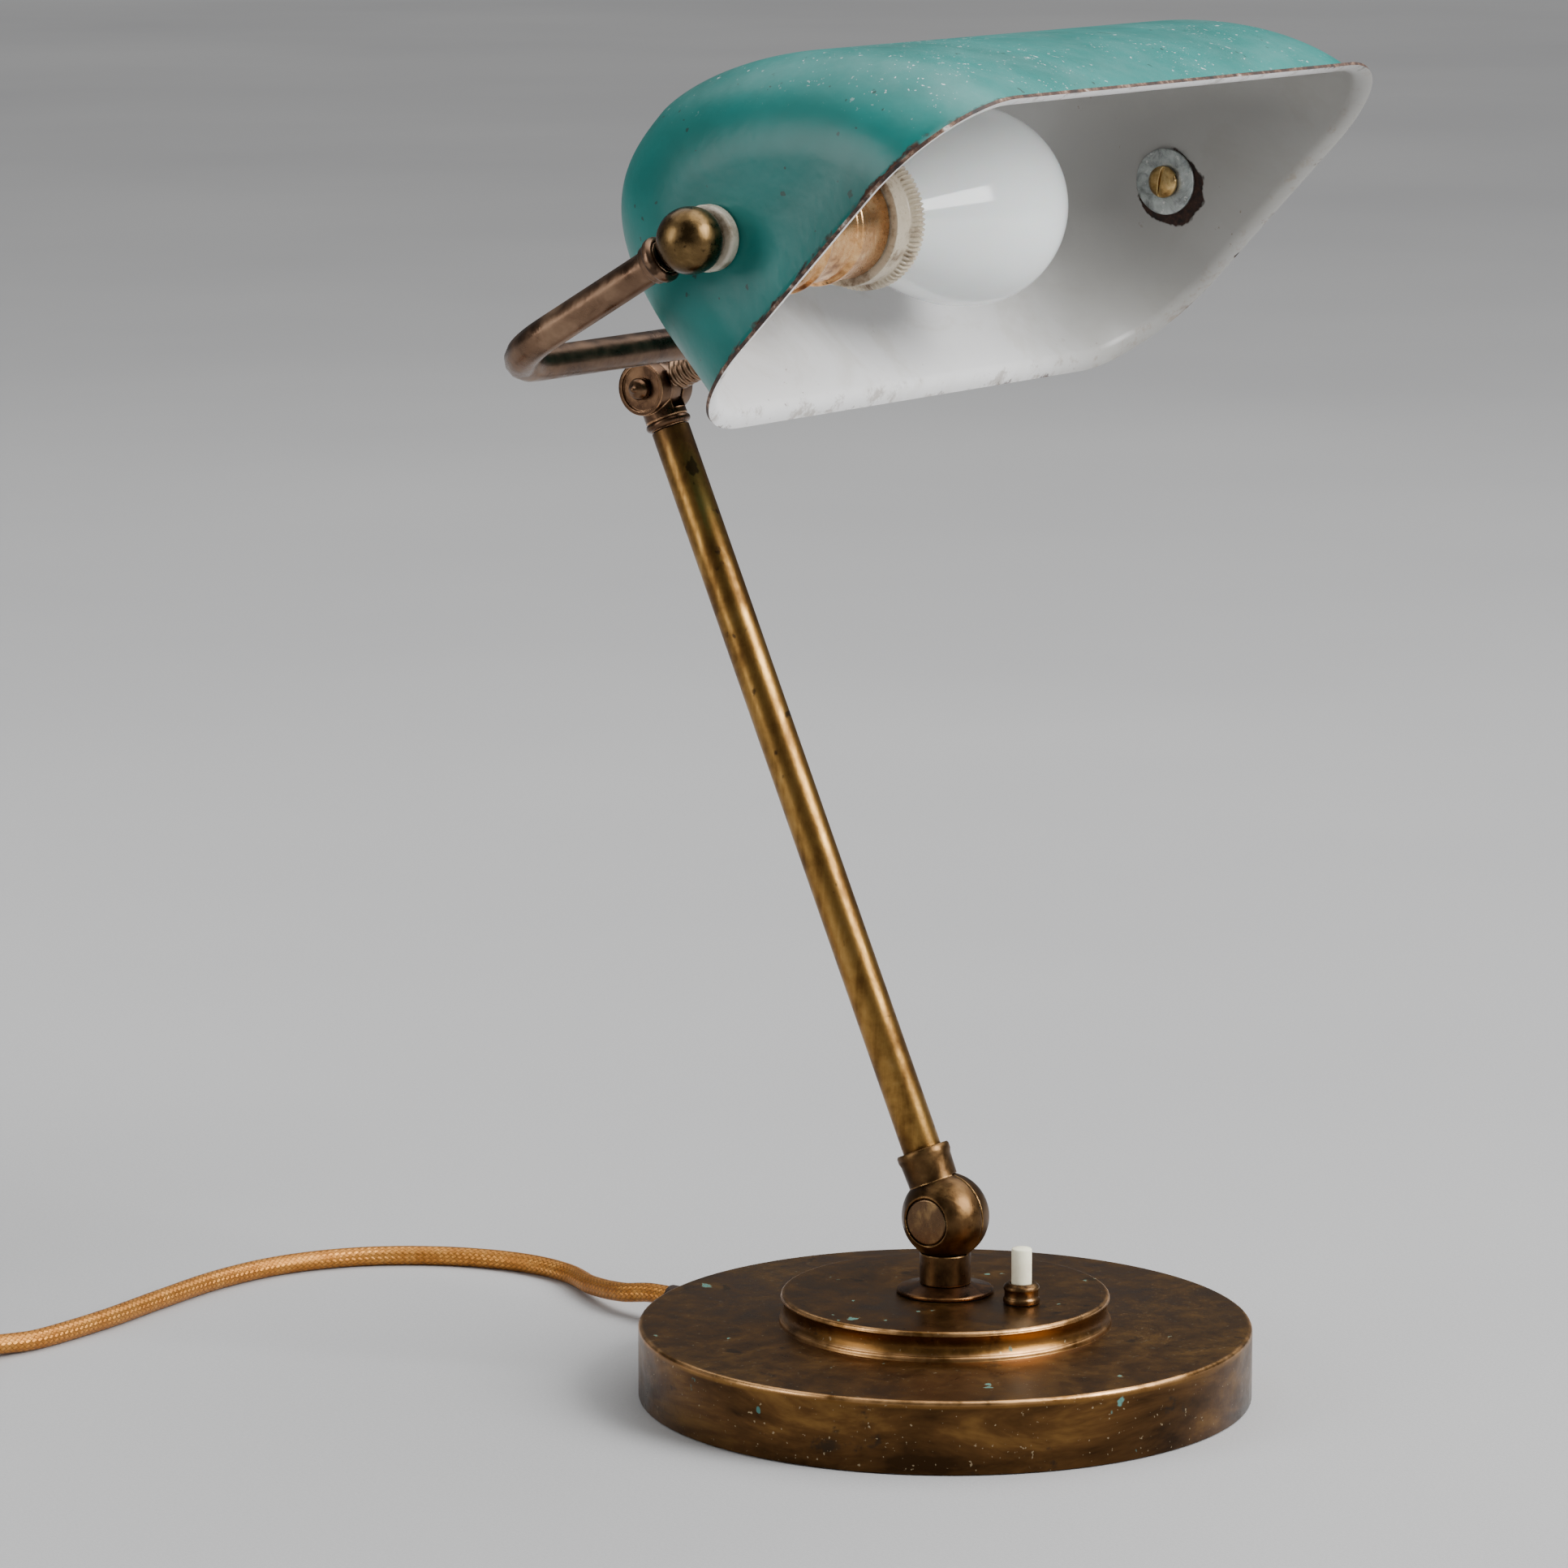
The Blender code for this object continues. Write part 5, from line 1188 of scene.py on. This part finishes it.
def base_look():
    look = Look("base_patina")
    turned_r = look.radius()
    blotch = look.noise(9, 4, 0.55, 0.4)
    fine = look.noise(90, 6, 0.72, 0.3)
    lines = look.noise(2600, 3, 0.6, source=turned_r, dimensions="1D")
    tone = blotch * 0.45 + fine * 0.45
    tone = tone + lines * 0.1
    colour = look.ramp(tone, (0.3, (0.1, 0.045, 0.013)), (0.5, (0.18, 0.086, 0.024)),
                       (0.62, (0.25, 0.13, 0.036)), (0.8, (0.4, 0.23, 0.065)))
    side = look.span(look.axes()[2], 0.0205, 0.0195)
    outer = look.span(turned_r, 0.09, 0.0915)
    rim = side * outer
    rim_tone = look.noise(40, 5, 0.65, 0.4, source=look.mapped((0.45, 0.45, 1.6)))
    rim_colour = look.ramp(rim_tone, (0.36, (0.034, 0.017, 0.007)), (0.52, (0.105, 0.05, 0.017)),
                           (0.68, (0.24, 0.125, 0.036)))
    colour = look.mix(rim, colour, rim_colour)
    spots = look.span(look.noise(46, 5, 0.68, 0.3), 0.6, 0.66) * look.patches(190, 3, 0.5, 0.4, 0.6)
    colour = look.mix(spots * 0.65, colour, (0.022, 0.02, 0.016))
    pinpricks = look.patches(700, 2, 0.5, 0.69, 0.73)
    colour = look.mix(pinpricks * 0.7, colour, (0.42, 0.33, 0.2))
    green = look.patches(85, 3, 0.6, 0.685, 0.71) * look.patches(330, 3, 0.6, 0.4, 0.54)
    colour = look.mix(green * 0.85, colour, (0.05, 0.2, 0.17))
    patches = look.noise(55, 4, 0.65)
    edges = look.math("MAXIMUM", look.ringed(BASE_R - 0.0003, BASE_RIM_Z - 0.0003, 0.0014),
                      look.ringed(STEP_R - 0.0001, STEP_Z - 0.0004, 0.0014))
    bead = look.ringed(STEP_R + 0.0002, STEP_Z - 0.0078, 0.0016) * 0.75
    worn = look.math("MAXIMUM", edges, bead) * look.span(patches, 0.36, 0.58)
    colour = look.mix(worn * 0.9, colour, (0.78, 0.44, 0.19))
    dust = look.patches(1500, 2, 0.5, 0.66, 0.74) * look.span(look.facing_up(), 0.6, 0.95)
    dust = dust * look.patches(22, 3, 0.6, 0.42, 0.66)
    colour = look.mix(dust * 0.4, colour, (0.3, 0.22, 0.13))
    matt = look.math("MAXIMUM", dust * 0.4, green * 0.9)
    rough = look.span(fine, 0.3, 0.72, 0.27, 0.4) + matt * 0.35
    look.set(Base_Color=colour, Roughness=rough, Metallic=1.0 - matt)
    look.bump(lines, 0.000018)
    look.bump(look.noise(240, 4, 0.62), 0.00005)
    look.bump(look.noise(28, 3, 0.5), 0.0001)
    return look


def arm_look():
    """Golden-brown tube with long streaks that follow it."""
    look = Look("arm_brass")
    along = look.mapped((1, 1, 0.1), (-ARM_LEAN, 0, 0))
    streak = look.noise(150, 4, 0.6, 0.5, source=along)
    blotch = look.noise(26, 5, 0.65, 0.9)
    fine = look.noise(210, 4, 0.6)
    tone = streak * 0.4 + blotch * 0.42
    tone = tone + fine * 0.18
    colour = look.ramp(tone, (0.36, (0.06, 0.029, 0.01)), (0.46, (0.165, 0.083, 0.023)),
                       (0.55, (0.32, 0.175, 0.048)), (0.68, (0.5, 0.3, 0.095)))
    spots = look.patches(170, 3, 0.5, 0.655, 0.72)
    colour = look.mix(spots * 0.8, colour, (0.03, 0.017, 0.012))
    # painted shade: the arm's top, under the upper knuckle and the shade, is darkened
    painted_shade_under_head = look.span(look.axes()[2], 0.262, 0.292)
    colour = look.mix(painted_shade_under_head * 0.55, colour, (0.075, 0.042, 0.022))
    rough = look.span(tone, 0.3, 0.7, 0.46, 0.27)
    look.set(Base_Color=colour, Roughness=rough, Metallic=1.0)
    look.bump(look.noise(420, 4, 0.65), 0.00007)
    look.bump(streak, 0.00004)
    return look


def enamel_look(inside):
    look = Look("enamel_white" if inside else "enamel_green")
    x, y, z = look.axes()
    ripple = look.noise(230, 2, 0.5)
    wave = look.noise(34, 3, 0.5)
    if inside:
        stain = look.noise(24, 5, 0.68, 0.8)
        colour = look.ramp(stain, (0.36, (0.7, 0.69, 0.665)), (0.47, (0.765, 0.765, 0.76)),
                           (0.7, (0.79, 0.79, 0.79)))
        # painted shade: the inside turns darker grey towards the shade's right end cap
        painted_far_end_shade = x + look.noise(16, 4, 0.6) * 0.05
        painted_far_end_shade = look.span(painted_far_end_shade, 0.06, 0.14, 0.0, 0.8)
        colour = look.mix(painted_far_end_shade, colour, (0.2, 0.195, 0.175))
        speck = look.patches(330, 3, 0.6, 0.68, 0.72) * look.patches(30, 3, 0.5, 0.46, 0.62)
        colour = look.mix(speck * 0.7, colour, (0.16, 0.1, 0.06))
    else:
        shade_tone = look.noise(20, 4, 0.6, 0.5)
        colour = look.ramp(shade_tone, (0.34, (0.003, 0.135, 0.118)), (0.52, (0.004, 0.17, 0.152)),
                           (0.7, (0.008, 0.2, 0.18)))
        up = look.span(look.facing_up(), 0.45, 1.0)
        # a pale grey veil on upward faces: partly dust, partly a painted sheen of the light from above
        dust_and_sheen = up * look.span(look.noise(55, 5, 0.7), 0.3, 0.8, 0.04, 0.3)
        colour = look.mix(dust_and_sheen, colour, (0.18, 0.33, 0.32))
        specks = look.patches(620, 2, 0.55, 0.655, 0.7) * up
        specks = specks * look.patches(48, 4, 0.7, 0.44, 0.6)
        colour = look.mix(specks * 0.85, colour, (0.68, 0.74, 0.72))
        dot = look.span(look.noise(260, 2, 0.5, source=look.mapped(shift=(3, 1, 2))), 0.715, 0.735)
        colour = look.mix(dot * 0.8, colour, (0.02, 0.05, 0.04))
    # the mouth is a plane: how far each point is above it, along the height of the shade
    sine, cosine = math.sin(SHADE_TILT), math.cos(SHADE_TILT)
    over = (y - PIVOT_AT.y) * sine + (z - PIVOT_AT.z) * cosine
    over = over + PIVOT_DEPTH
    ragged = look.noise(95, 5, 0.72) * 0.006
    if inside:
        ragged = ragged - 0.0032
    near = look.span(over - ragged, -0.001 if inside else 0.0, -0.0016 if inside else -0.0008)
    chipped = near * look.patches(60, 4, 0.65, 0.44, 0.56)
    rust = look.ramp(look.noise(420, 4, 0.65), (0.35, (0.016, 0.012, 0.012)),
                     (0.55, (0.07, 0.03, 0.018)), (0.75, (0.16, 0.075, 0.045)))
    colour = look.mix(chipped, colour, rust)
    if inside:
        lip = look.span(over, 0.003, 0.0005)
        grime = lip * look.patches(130, 5, 0.7, 0.52, 0.66)
        colour = look.mix(grime * 0.55, colour, (0.22, 0.17, 0.12))
        hole_x = look.span(x, SHADE_HALF - 0.012, SHADE_HALF - 0.004)
        side = y - (PIVOT_AT.y - 0.002)
        drop = z - (PIVOT_AT.z - 0.0022)
        off = look.length(side, drop)
        off = off - look.noise(130, 3, 0.6) * 0.006
        gone = look.span(off, 0.009, 0.0084) * hole_x
        colour = look.mix(gone, colour, look.mix(0.6, rust, (0.012, 0.007, 0.006)))
        chipped = look.math("MAXIMUM", chipped, gone)
    rough = look.span(wave, 0.3, 0.7, 0.3, 0.4) + chipped * 0.6
    look.set(Base_Color=colour, Roughness=rough, Metallic=0.0,
             Specular_IOR_Level=0.5 if inside else 0.38)
    look.bump(ripple, 0.00007 if inside else 0.0001)
    look.bump(wave, 0.00015 if inside else 0.0003)
    look.bump(1.0 - chipped, 0.00012)
    return look


def rim_look():
    look = Look("enamel_edge")
    tone = look.noise(210, 5, 0.7)
    colour = look.ramp(tone, (0.36, (0.018, 0.013, 0.012)), (0.5, (0.065, 0.032, 0.022)),
                       (0.6, (0.2, 0.12, 0.08)), (0.72, (0.6, 0.58, 0.54)))
    look.set(Base_Color=colour, Roughness=0.6, Metallic=0.2)
    look.bump(tone, 0.0002)
    return look


def blotched_brass(name, dark, mid, light, shine=0.28):
    look = Look(name)
    cloud = look.noise(70, 5, 0.68, 1.2)
    fine = look.noise(320, 4, 0.65)
    tone = cloud * 0.65 + fine * 0.35
    colour = look.ramp(tone, (0.36, dark), (0.48, mid), (0.66, light))
    spots = look.patches(210, 3, 0.55, 0.66, 0.71)
    colour = look.mix(spots * 0.85, colour, (0.035, 0.018, 0.01))
    worn = look.rounded(0.0004)
    colour = look.mix(worn * 0.5, colour, tuple(min(1, c * 1.5) for c in light))
    look.set(Base_Color=colour, Roughness=look.span(tone, 0.3, 0.7, shine + 0.16, shine - 0.04),
             Metallic=1.0)
    look.bump(fine, 0.00005)
    return look


def porcelain_look(name, grime, light=(0.62, 0.59, 0.52)):
    look = Look(name)
    dirt = look.noise(130, 5, 0.7)
    colour = look.ramp(dirt, (0.36, grime), (0.52, light), (0.8, tuple(min(1, c * 1.1) for c in light)))
    speck = look.patches(520, 3, 0.6, 0.67, 0.71)
    colour = look.mix(speck * 0.6, colour, (0.14, 0.08, 0.04))
    look.rounded(0.0003)
    look.set(Base_Color=colour, Roughness=look.span(dirt, 0.3, 0.7, 0.42, 0.24), Metallic=0.0)
    look.bump(look.noise(500, 3, 0.6), 0.00004)
    return look


def zinc_look(name="zinc", tone=(0.4, 0.43, 0.42)):
    look = Look(name)
    cloud = look.noise(160, 5, 0.7, 0.6)
    lines = look.noise(1500, 2, 0.6, source=look.mapped((1, 0.08, 1), (0.7, 0.3, 0.4)))
    colour = look.ramp(cloud, (0.34, tuple(c * 0.42 for c in tone)), (0.52, tone),
                       (0.72, tuple(min(1, c * 1.5) for c in tone)))
    flecks = look.patches(420, 4, 0.7, 0.6, 0.66)
    colour = look.mix(flecks * 0.6, colour, (0.75, 0.75, 0.72))
    look.rounded(0.0003)
    look.set(Base_Color=colour, Roughness=look.span(cloud, 0.3, 0.7, 0.34, 0.52),
             Metallic=look.span(flecks, 0.0, 1.0, 0.9, 0.3))
    look.bump(lines, 0.00002)
    look.bump(look.noise(700, 3, 0.6), 0.00005)
    return look


def opal_look():
    look = Look("opal_glass")
    haze = look.noise(30, 3, 0.5)
    colour = look.ramp(haze, (0.3, (0.8, 0.8, 0.795)), (0.7, (0.86, 0.86, 0.86)))
    look.set(Base_Color=colour, Roughness=0.09, Metallic=0.0, Subsurface_Weight=0.25,
             Subsurface_Scale=0.004, Specular_IOR_Level=0.5)
    look.bump(look.noise(60, 2, 0.5), 0.00008)
    return look


def plastic_look(name, colour, shine=0.35, grain=0.00004):
    look = Look(name)
    tone = look.noise(90, 4, 0.6)
    shades = look.ramp(tone, (0.3, tuple(c * 0.75 for c in colour)),
                       (0.7, tuple(min(1, c * 1.2) for c in colour)))
    look.rounded(0.0004)
    look.set(Base_Color=shades, Roughness=look.span(tone, 0.3, 0.7, shine - 0.06, shine + 0.1))
    look.bump(look.noise(900, 3, 0.6), grain)
    return look


def iron_look():
    look = Look("raw_iron")
    tone = look.noise(120, 5, 0.65)
    colour = look.ramp(tone, (0.35, (0.03, 0.028, 0.027)), (0.55, (0.075, 0.068, 0.062)),
                       (0.72, (0.14, 0.07, 0.04)))
    look.set(Base_Color=colour, Roughness=0.7, Metallic=0.7)
    look.bump(look.noise(600, 4, 0.7), 0.0002)
    return look


def felt_look():
    look = Look("felt")
    fluff = look.noise(2200, 4, 0.75, 1.0)
    colour = look.ramp(fluff, (0.35, (0.01, 0.026, 0.015)), (0.6, (0.028, 0.065, 0.038)))
    colour = look.mix(look.span(look.noise(35, 3, 0.6), 0.4, 0.7, 0.0, 0.4), colour, (0.05, 0.07, 0.05))
    look.set(Base_Color=colour, Roughness=0.95, Sheen_Weight=0.5, Sheen_Roughness=0.5)
    look.bump(fluff, 0.0004)
    return look


def braid_look():
    """Woven braid: two crossing sets of strands, drawn on the cord"s length and angle."""
    look = Look("cord_braid")
    uv = look.new("ShaderNodeUVMap")
    uv.uv_map = "braid"
    along, round_it, _ = look.axes(Value(look, uv.outputs[0]))
    strands = 12.0
    turns = round_it * strands
    travel = along * 450.0
    first = turns + travel
    second = turns - travel

    def strand(value):
        part = look.math("FRACT", value)
        centre = look.math("ABSOLUTE", part - 0.5)
        return 1.0 - look.math("POWER", centre, 2.0) * 3.6
    parity = look.math("FRACT", (look.math("FLOOR", first) + look.math("FLOOR", second)) * 0.5)
    over = look.math("GREATER_THAN", parity, 0.25)
    up, down = (strand(first), strand(second))
    height = over * up + (1.0 - over) * down
    across = over * first + (1.0 - over) * second
    threads = look.math("ABSOLUTE", look.math("SINE", across * 18.8))
    blend = look.new("ShaderNodeCombineXYZ")
    look.link(along * 60.0, blend.inputs[0])
    look.link(round_it, blend.inputs[1])
    fade = look.noise(3.0, 4, 0.6, source=Value(look, blend.outputs[0]))
    warm = look.ramp(fade, (0.35, (0.52, 0.19, 0.03)), (0.52, (0.66, 0.27, 0.05)),
                     (0.7, (0.76, 0.35, 0.08)))
    # painted shade: one crossing set of strands is a darker copy of the other's colour
    shaded_strand_colour = look.mix(0.3, warm, (0.24, 0.08, 0.012))
    colour = look.mix(over, warm, shaded_strand_colour)
    # painted shade: the low gaps between strands are darkened
    gap = look.span(height, 0.1, 0.75)
    colour = look.mix(gap, (0.13, 0.042, 0.006), colour)
    colour = look.mix(threads * 0.1, colour, (0.88, 0.48, 0.12))
    look.set(Base_Color=colour, Roughness=0.33, Metallic=0.78)
    look.bump(height * 0.8 + threads * 0.2, 0.00016)
    return look


def paper_look():
    look = Look("backdrop_paper")
    cloud = look.noise(1.1, 4, 0.5)
    grain = look.noise(900, 3, 0.7)
    tone = cloud * 0.6 + grain * 0.4
    colour = look.ramp(tone, (0.35, (0.4, 0.4, 0.405)), (0.65, (0.46, 0.46, 0.46)))
    look.set(Base_Color=colour, Roughness=0.85, Specular_IOR_Level=0.2)
    look.bump(grain, 0.0001)
    return look


# ---------------------------------------------------------------- camera

camera = bpy.data.objects.new("camera", bpy.data.cameras.new("camera"))
bpy.context.scene.collection.objects.link(camera)
camera.data.lens = 148.87
camera.data.sensor_width = 36.0
camera.data.clip_end = 60.0
camera.location = (-1.5952, -1.0322, 0.5127)
camera.rotation_euler = Vector((0.81350, 0.55638, -0.16927)).to_track_quat("-Z", "Y").to_euler()
bpy.context.scene.camera = camera

# ---------------------------------------------------------------- mains cord

route = cord_route()[:-1] + coil_turns() + tail_route()[1:]
CORD_LINE = [Vector((p.x, p.y, max(p.z, CORD_R))) for p in smooth_route(route, 0.0018)]
cord, CORD_TOTAL = tube("mains_cord", CORD_LINE, CORD_R)

# ---------------------------------------------------------------- the fine model

arm_pivot = pivot("arm_pivot", (0, 0, BALL_Z), None, (-ARM_LEAN, 0, 0))
head_at = Vector((0, math.sin(ARM_LEAN), math.cos(ARM_LEAN))) * ARM_LENGTH + Vector((0, 0, BALL_Z))
head_pivot = pivot("head_pivot", head_at)
yoke_at = Vector((0, -STEM_LENGTH * math.cos(STEM_RISE) - YOKE_DEPTH * math.cos(YOKE_RISE),
                  STEM_LENGTH * math.sin(STEM_RISE) + YOKE_DEPTH * math.sin(YOKE_RISE)))
yoke_frame = pivot("yoke_frame", yoke_at, head_pivot, (math.pi / 2 - YOKE_RISE, 0, 0))
PIVOT_AT = head_at + yoke_at
shade_pivot = pivot("shade_pivot", PIVOT_AT, None, (-SHADE_TILT, 0, 0))

make_base()
make_stem()
make_lower_knuckle(arm_pivot)
make_arm(arm_pivot)
make_yoke(head_pivot, yoke_frame)
make_end_balls(yoke_frame)
make_shade(shade_pivot)
make_pivots(yoke_frame, shade_pivot)
make_lampholder(shade_pivot)
make_switch()
make_cord_pieces()
make_plug()
bpy.context.view_layer.update()

# body, material slot, look, nodes
PIECES = (
    ("base", "bronze", "base", ("base_cover",)),
    ("base", "felt", "felt", ("felt_pad",)),
    ("base", "bronze", "flange", ("stem_flange",)),
    ("base", "bronze", "knuckle", ("knuckle_rear_half",)),
    ("base", "bronze", "cap", ("knuckle_cap_rear",)),
    ("base", "brass_bright", "collar", ("switch_collar",)),
    ("base", "plastic", "plastic", ("cord_gland", "cord_tie", "plug_body")),
    ("base", "brass_bright", "screw", ("plug_pin_a", "plug_pin_b")),
    ("arm", "bronze", "knuckle", ("knuckle_front_half",)),
    ("arm", "bronze", "cap", ("knuckle_cap_front",)),
    ("arm", "brass_aged", "arm", ("arm_tube",)),
    ("arm", "bronze", "fork", ("arm_fork",)),
    ("arm", "brass_aged", "fork", ("upper_bolt", "upper_nut")),
    ("yoke", "brass_aged", "yoke", ("yoke_stem", "yoke_tube", "yoke_collar_left", "yoke_collar_right")),
    ("yoke", "bronze", "ball", ("end_ball_left", "end_ball_right")),
    ("yoke", "porcelain", "spacer", ("spacer_left", "spacer_right")),
    ("shade_head", "enamel", "outside inside rim", ("shade",)),
    ("shade_head", "zinc", "zinc", ("pivot_washer_right", "pivot_washer_left")),
    ("shade_head", "brass_bright", "screw", ("pivot_screw",)),
    ("shade_head", "brass_bright", "holder", ("lampholder_cap", "lampholder_body")),
    ("shade_head", "porcelain", "ring", ("lampholder_ring",)),
    ("shade_head", "opal", "opal", ("bulb",)),
    ("button", "ivory", "ivory", ("switch_button",)),
)
INNER_NODES = {
    "zinc": ("base_plate", "stem_nipple", "stem_washer", "stem_nut", "knuckle_nut", "knuckle_washer",
             "knuckle_screw", "lampholder_nipple", "lamp_cap", "switch_nut", "switch_spring"),
    "insulation": ("arm_wire", "yoke_wire", "base_lead"),
    "collar": ("socket_contact", "socket_shell"),
    "insulator": ("socket_insulator",),
    "plastic": ("switch_body",),
    "iron": ("base_weight",),
}
LOOKS = {
    "base": base_look(),
    "felt": felt_look(),
    "flange": patina("flange_bronze", (0.045, 0.020, 0.009), (0.115, 0.052, 0.020), (0.26, 0.13, 0.045),
                     1.6, 0.32),
    "knuckle": patina("knuckle_bronze", (0.040, 0.020, 0.009), (0.105, 0.056, 0.022),
                      (0.25, 0.145, 0.058), 1.8, 0.36, 0.0006, 0.8),
    "cap": patina("cap_bronze", (0.050, 0.028, 0.018), (0.13, 0.075, 0.040), (0.46, 0.29, 0.12), 1.7,
                  0.28, 0.0005, 0.9),
    "arm": arm_look(),
    "fork": patina("fork_bronze", (0.040, 0.021, 0.014), (0.110, 0.060, 0.034), (0.26, 0.15, 0.08), 2.0,
                   0.30, 0.0006, 0.8),
    "yoke": patina("yoke_brass", (0.075, 0.042, 0.026), (0.180, 0.108, 0.068), (0.34, 0.22, 0.14), 1.4,
                   0.33, 0.0005, 0.5),
    "ball": patina("ball_bronze", (0.045, 0.026, 0.011), (0.120, 0.074, 0.030), (0.30, 0.19, 0.080), 2.0,
                   0.27, 0.0006, 0.7),
    "outside": enamel_look(False),
    "inside": enamel_look(True),
    "rim": rim_look(),
    "spacer": porcelain_look("spacer_porcelain", (0.24, 0.18, 0.11), (0.56, 0.51, 0.41)),
    "ring": porcelain_look("ring_porcelain", (0.17, 0.11, 0.06), (0.50, 0.43, 0.32)),
    "insulator": porcelain_look("insulator_porcelain", (0.30, 0.25, 0.20)),
    "zinc": zinc_look(),
    "screw": blotched_brass("screw_brass", (0.12, 0.06, 0.02), (0.38, 0.24, 0.09), (0.72, 0.52, 0.24)),
    "holder": blotched_brass("holder_brass", (0.22, 0.090, 0.030), (0.62, 0.33, 0.135),
                             (0.90, 0.60, 0.30), 0.22),
    "collar": blotched_brass("collar_brass", (0.050, 0.026, 0.012), (0.155, 0.085, 0.036),
                             (0.40, 0.25, 0.11)),
    "opal": opal_look(),
    "plastic": plastic_look("dark_plastic", (0.035, 0.022, 0.016)),
    "ivory": plastic_look("ivory_button", (0.95, 0.82, 0.62), 0.40),
    "insulation": plastic_look("wire_insulation", (0.03, 0.03, 0.03), 0.5),
    "iron": iron_look(),
    "braid": braid_look(),
    "paper": paper_look(),
}


def finish_with(obj, looks):
    """Give an object its looks, one for each of its material slots."""
    materials = [LOOKS[look].material for look in looks.split()]
    if len(materials) == 1:
        obj.data.materials.clear()
        obj.data.materials.append(materials[0])
    else:
        for slot, material in enumerate(materials):
            obj.data.materials[slot] = material


for body, slot, looks, nodes in PIECES:
    for node in nodes:
        piece = baked(bpy.data.objects[node + "_draft"], node + "_fine")
        finish_with(piece, looks)
        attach(piece, body)
        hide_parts(node)

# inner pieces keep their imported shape: only their finish and shading are set here
for look, nodes in INNER_NODES.items():
    for node in nodes:
        inner = bpy.data.objects[node]
        finish_with(inner, look)
        smooth = inner.modifiers.new("smooth", "WEIGHTED_NORMAL")
        smooth.keep_sharp = True

cord.data.materials.append(LOOKS["braid"].material)
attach(cord, "base")
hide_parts("cord_lead", "cord_coil", "cord_tail")
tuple(CORD_LINE[0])

# ---------------------------------------------------------------- floor, light

def plane(name, size, at, look):
    half = size / 2
    mesh = bpy.data.meshes.new(name)
    corners = [(-half, -half, 0), (half, -half, 0), (half, half, 0), (-half, half, 0)]
    mesh.from_pydata(corners, [], [(0, 1, 2, 3)])
    made = bpy.data.objects.new(name, mesh)
    made.location = at
    mesh.materials.append(look.material)
    bpy.context.scene.collection.objects.link(made)
    return made


def lamp(name, at, target, size, power):
    """A rectangular softbox that faces its target."""
    data = bpy.data.lights.new(name, "AREA")
    data.shape = "RECTANGLE"
    data.size, data.size_y = size
    data.energy = power
    made = bpy.data.objects.new(name, data)
    made.location = at
    made.rotation_euler = (Vector(target) - Vector(at)).to_track_quat("-Z", "Y").to_euler()
    bpy.context.scene.collection.objects.link(made)
    return made


floor = plane("floor", 24.0, (0, 0, 0), LOOKS["paper"])
look_ahead = Vector((0.8254, 0.5645, 0)).normalized()
to_left = Vector((-look_ahead.y, look_ahead.x, 0))
middle = Vector((0, 0, 0.2))
# name, then how far ahead, to the left and up from the lamp's middle, size, power
for name, ahead, left, up, size, power in (("right_softbox", -1.1, -2.2, 1.5, (1.4, 1.9), 135),
                                           ("left_softbox", -1.1, 2.6, 1.0, (1.1, 1.9), 32),
                                           ("top_softbox", 0.7, 0.0, 2.3, (3.4, 3.0), 44)):
    at = middle + look_ahead * ahead + to_left * left + Vector((0, 0, up))
    lamp(name, at, middle, size, power)
sun = bpy.data.objects.new("even_light", bpy.data.lights.new("even_light", "SUN"))
sun.data.energy = 1.9
sun.data.angle = math.radians(60)
sun_from = look_ahead * 0.2 - to_left * 0.8 + Vector((0, 0, 1.5))
sun.rotation_euler = (-sun_from).to_track_quat("-Z", "Y").to_euler()
bpy.context.scene.collection.objects.link(sun)
world = bpy.data.worlds.new("studio")
bpy.context.scene.world = world
world.use_nodes = True
back = world.node_tree.nodes["Background"]
back.inputs["Color"].default_value = (0.42, 0.42, 0.425, 1.0)
back.inputs["Strength"].default_value = 0.30

# ---------------------------------------------------------------- scratch away

for scratch in (PARTS, CUTTERS):
    for old in list(scratch.objects):
        bpy.data.objects.remove(old, do_unlink=True)
    bpy.data.collections.remove(scratch)
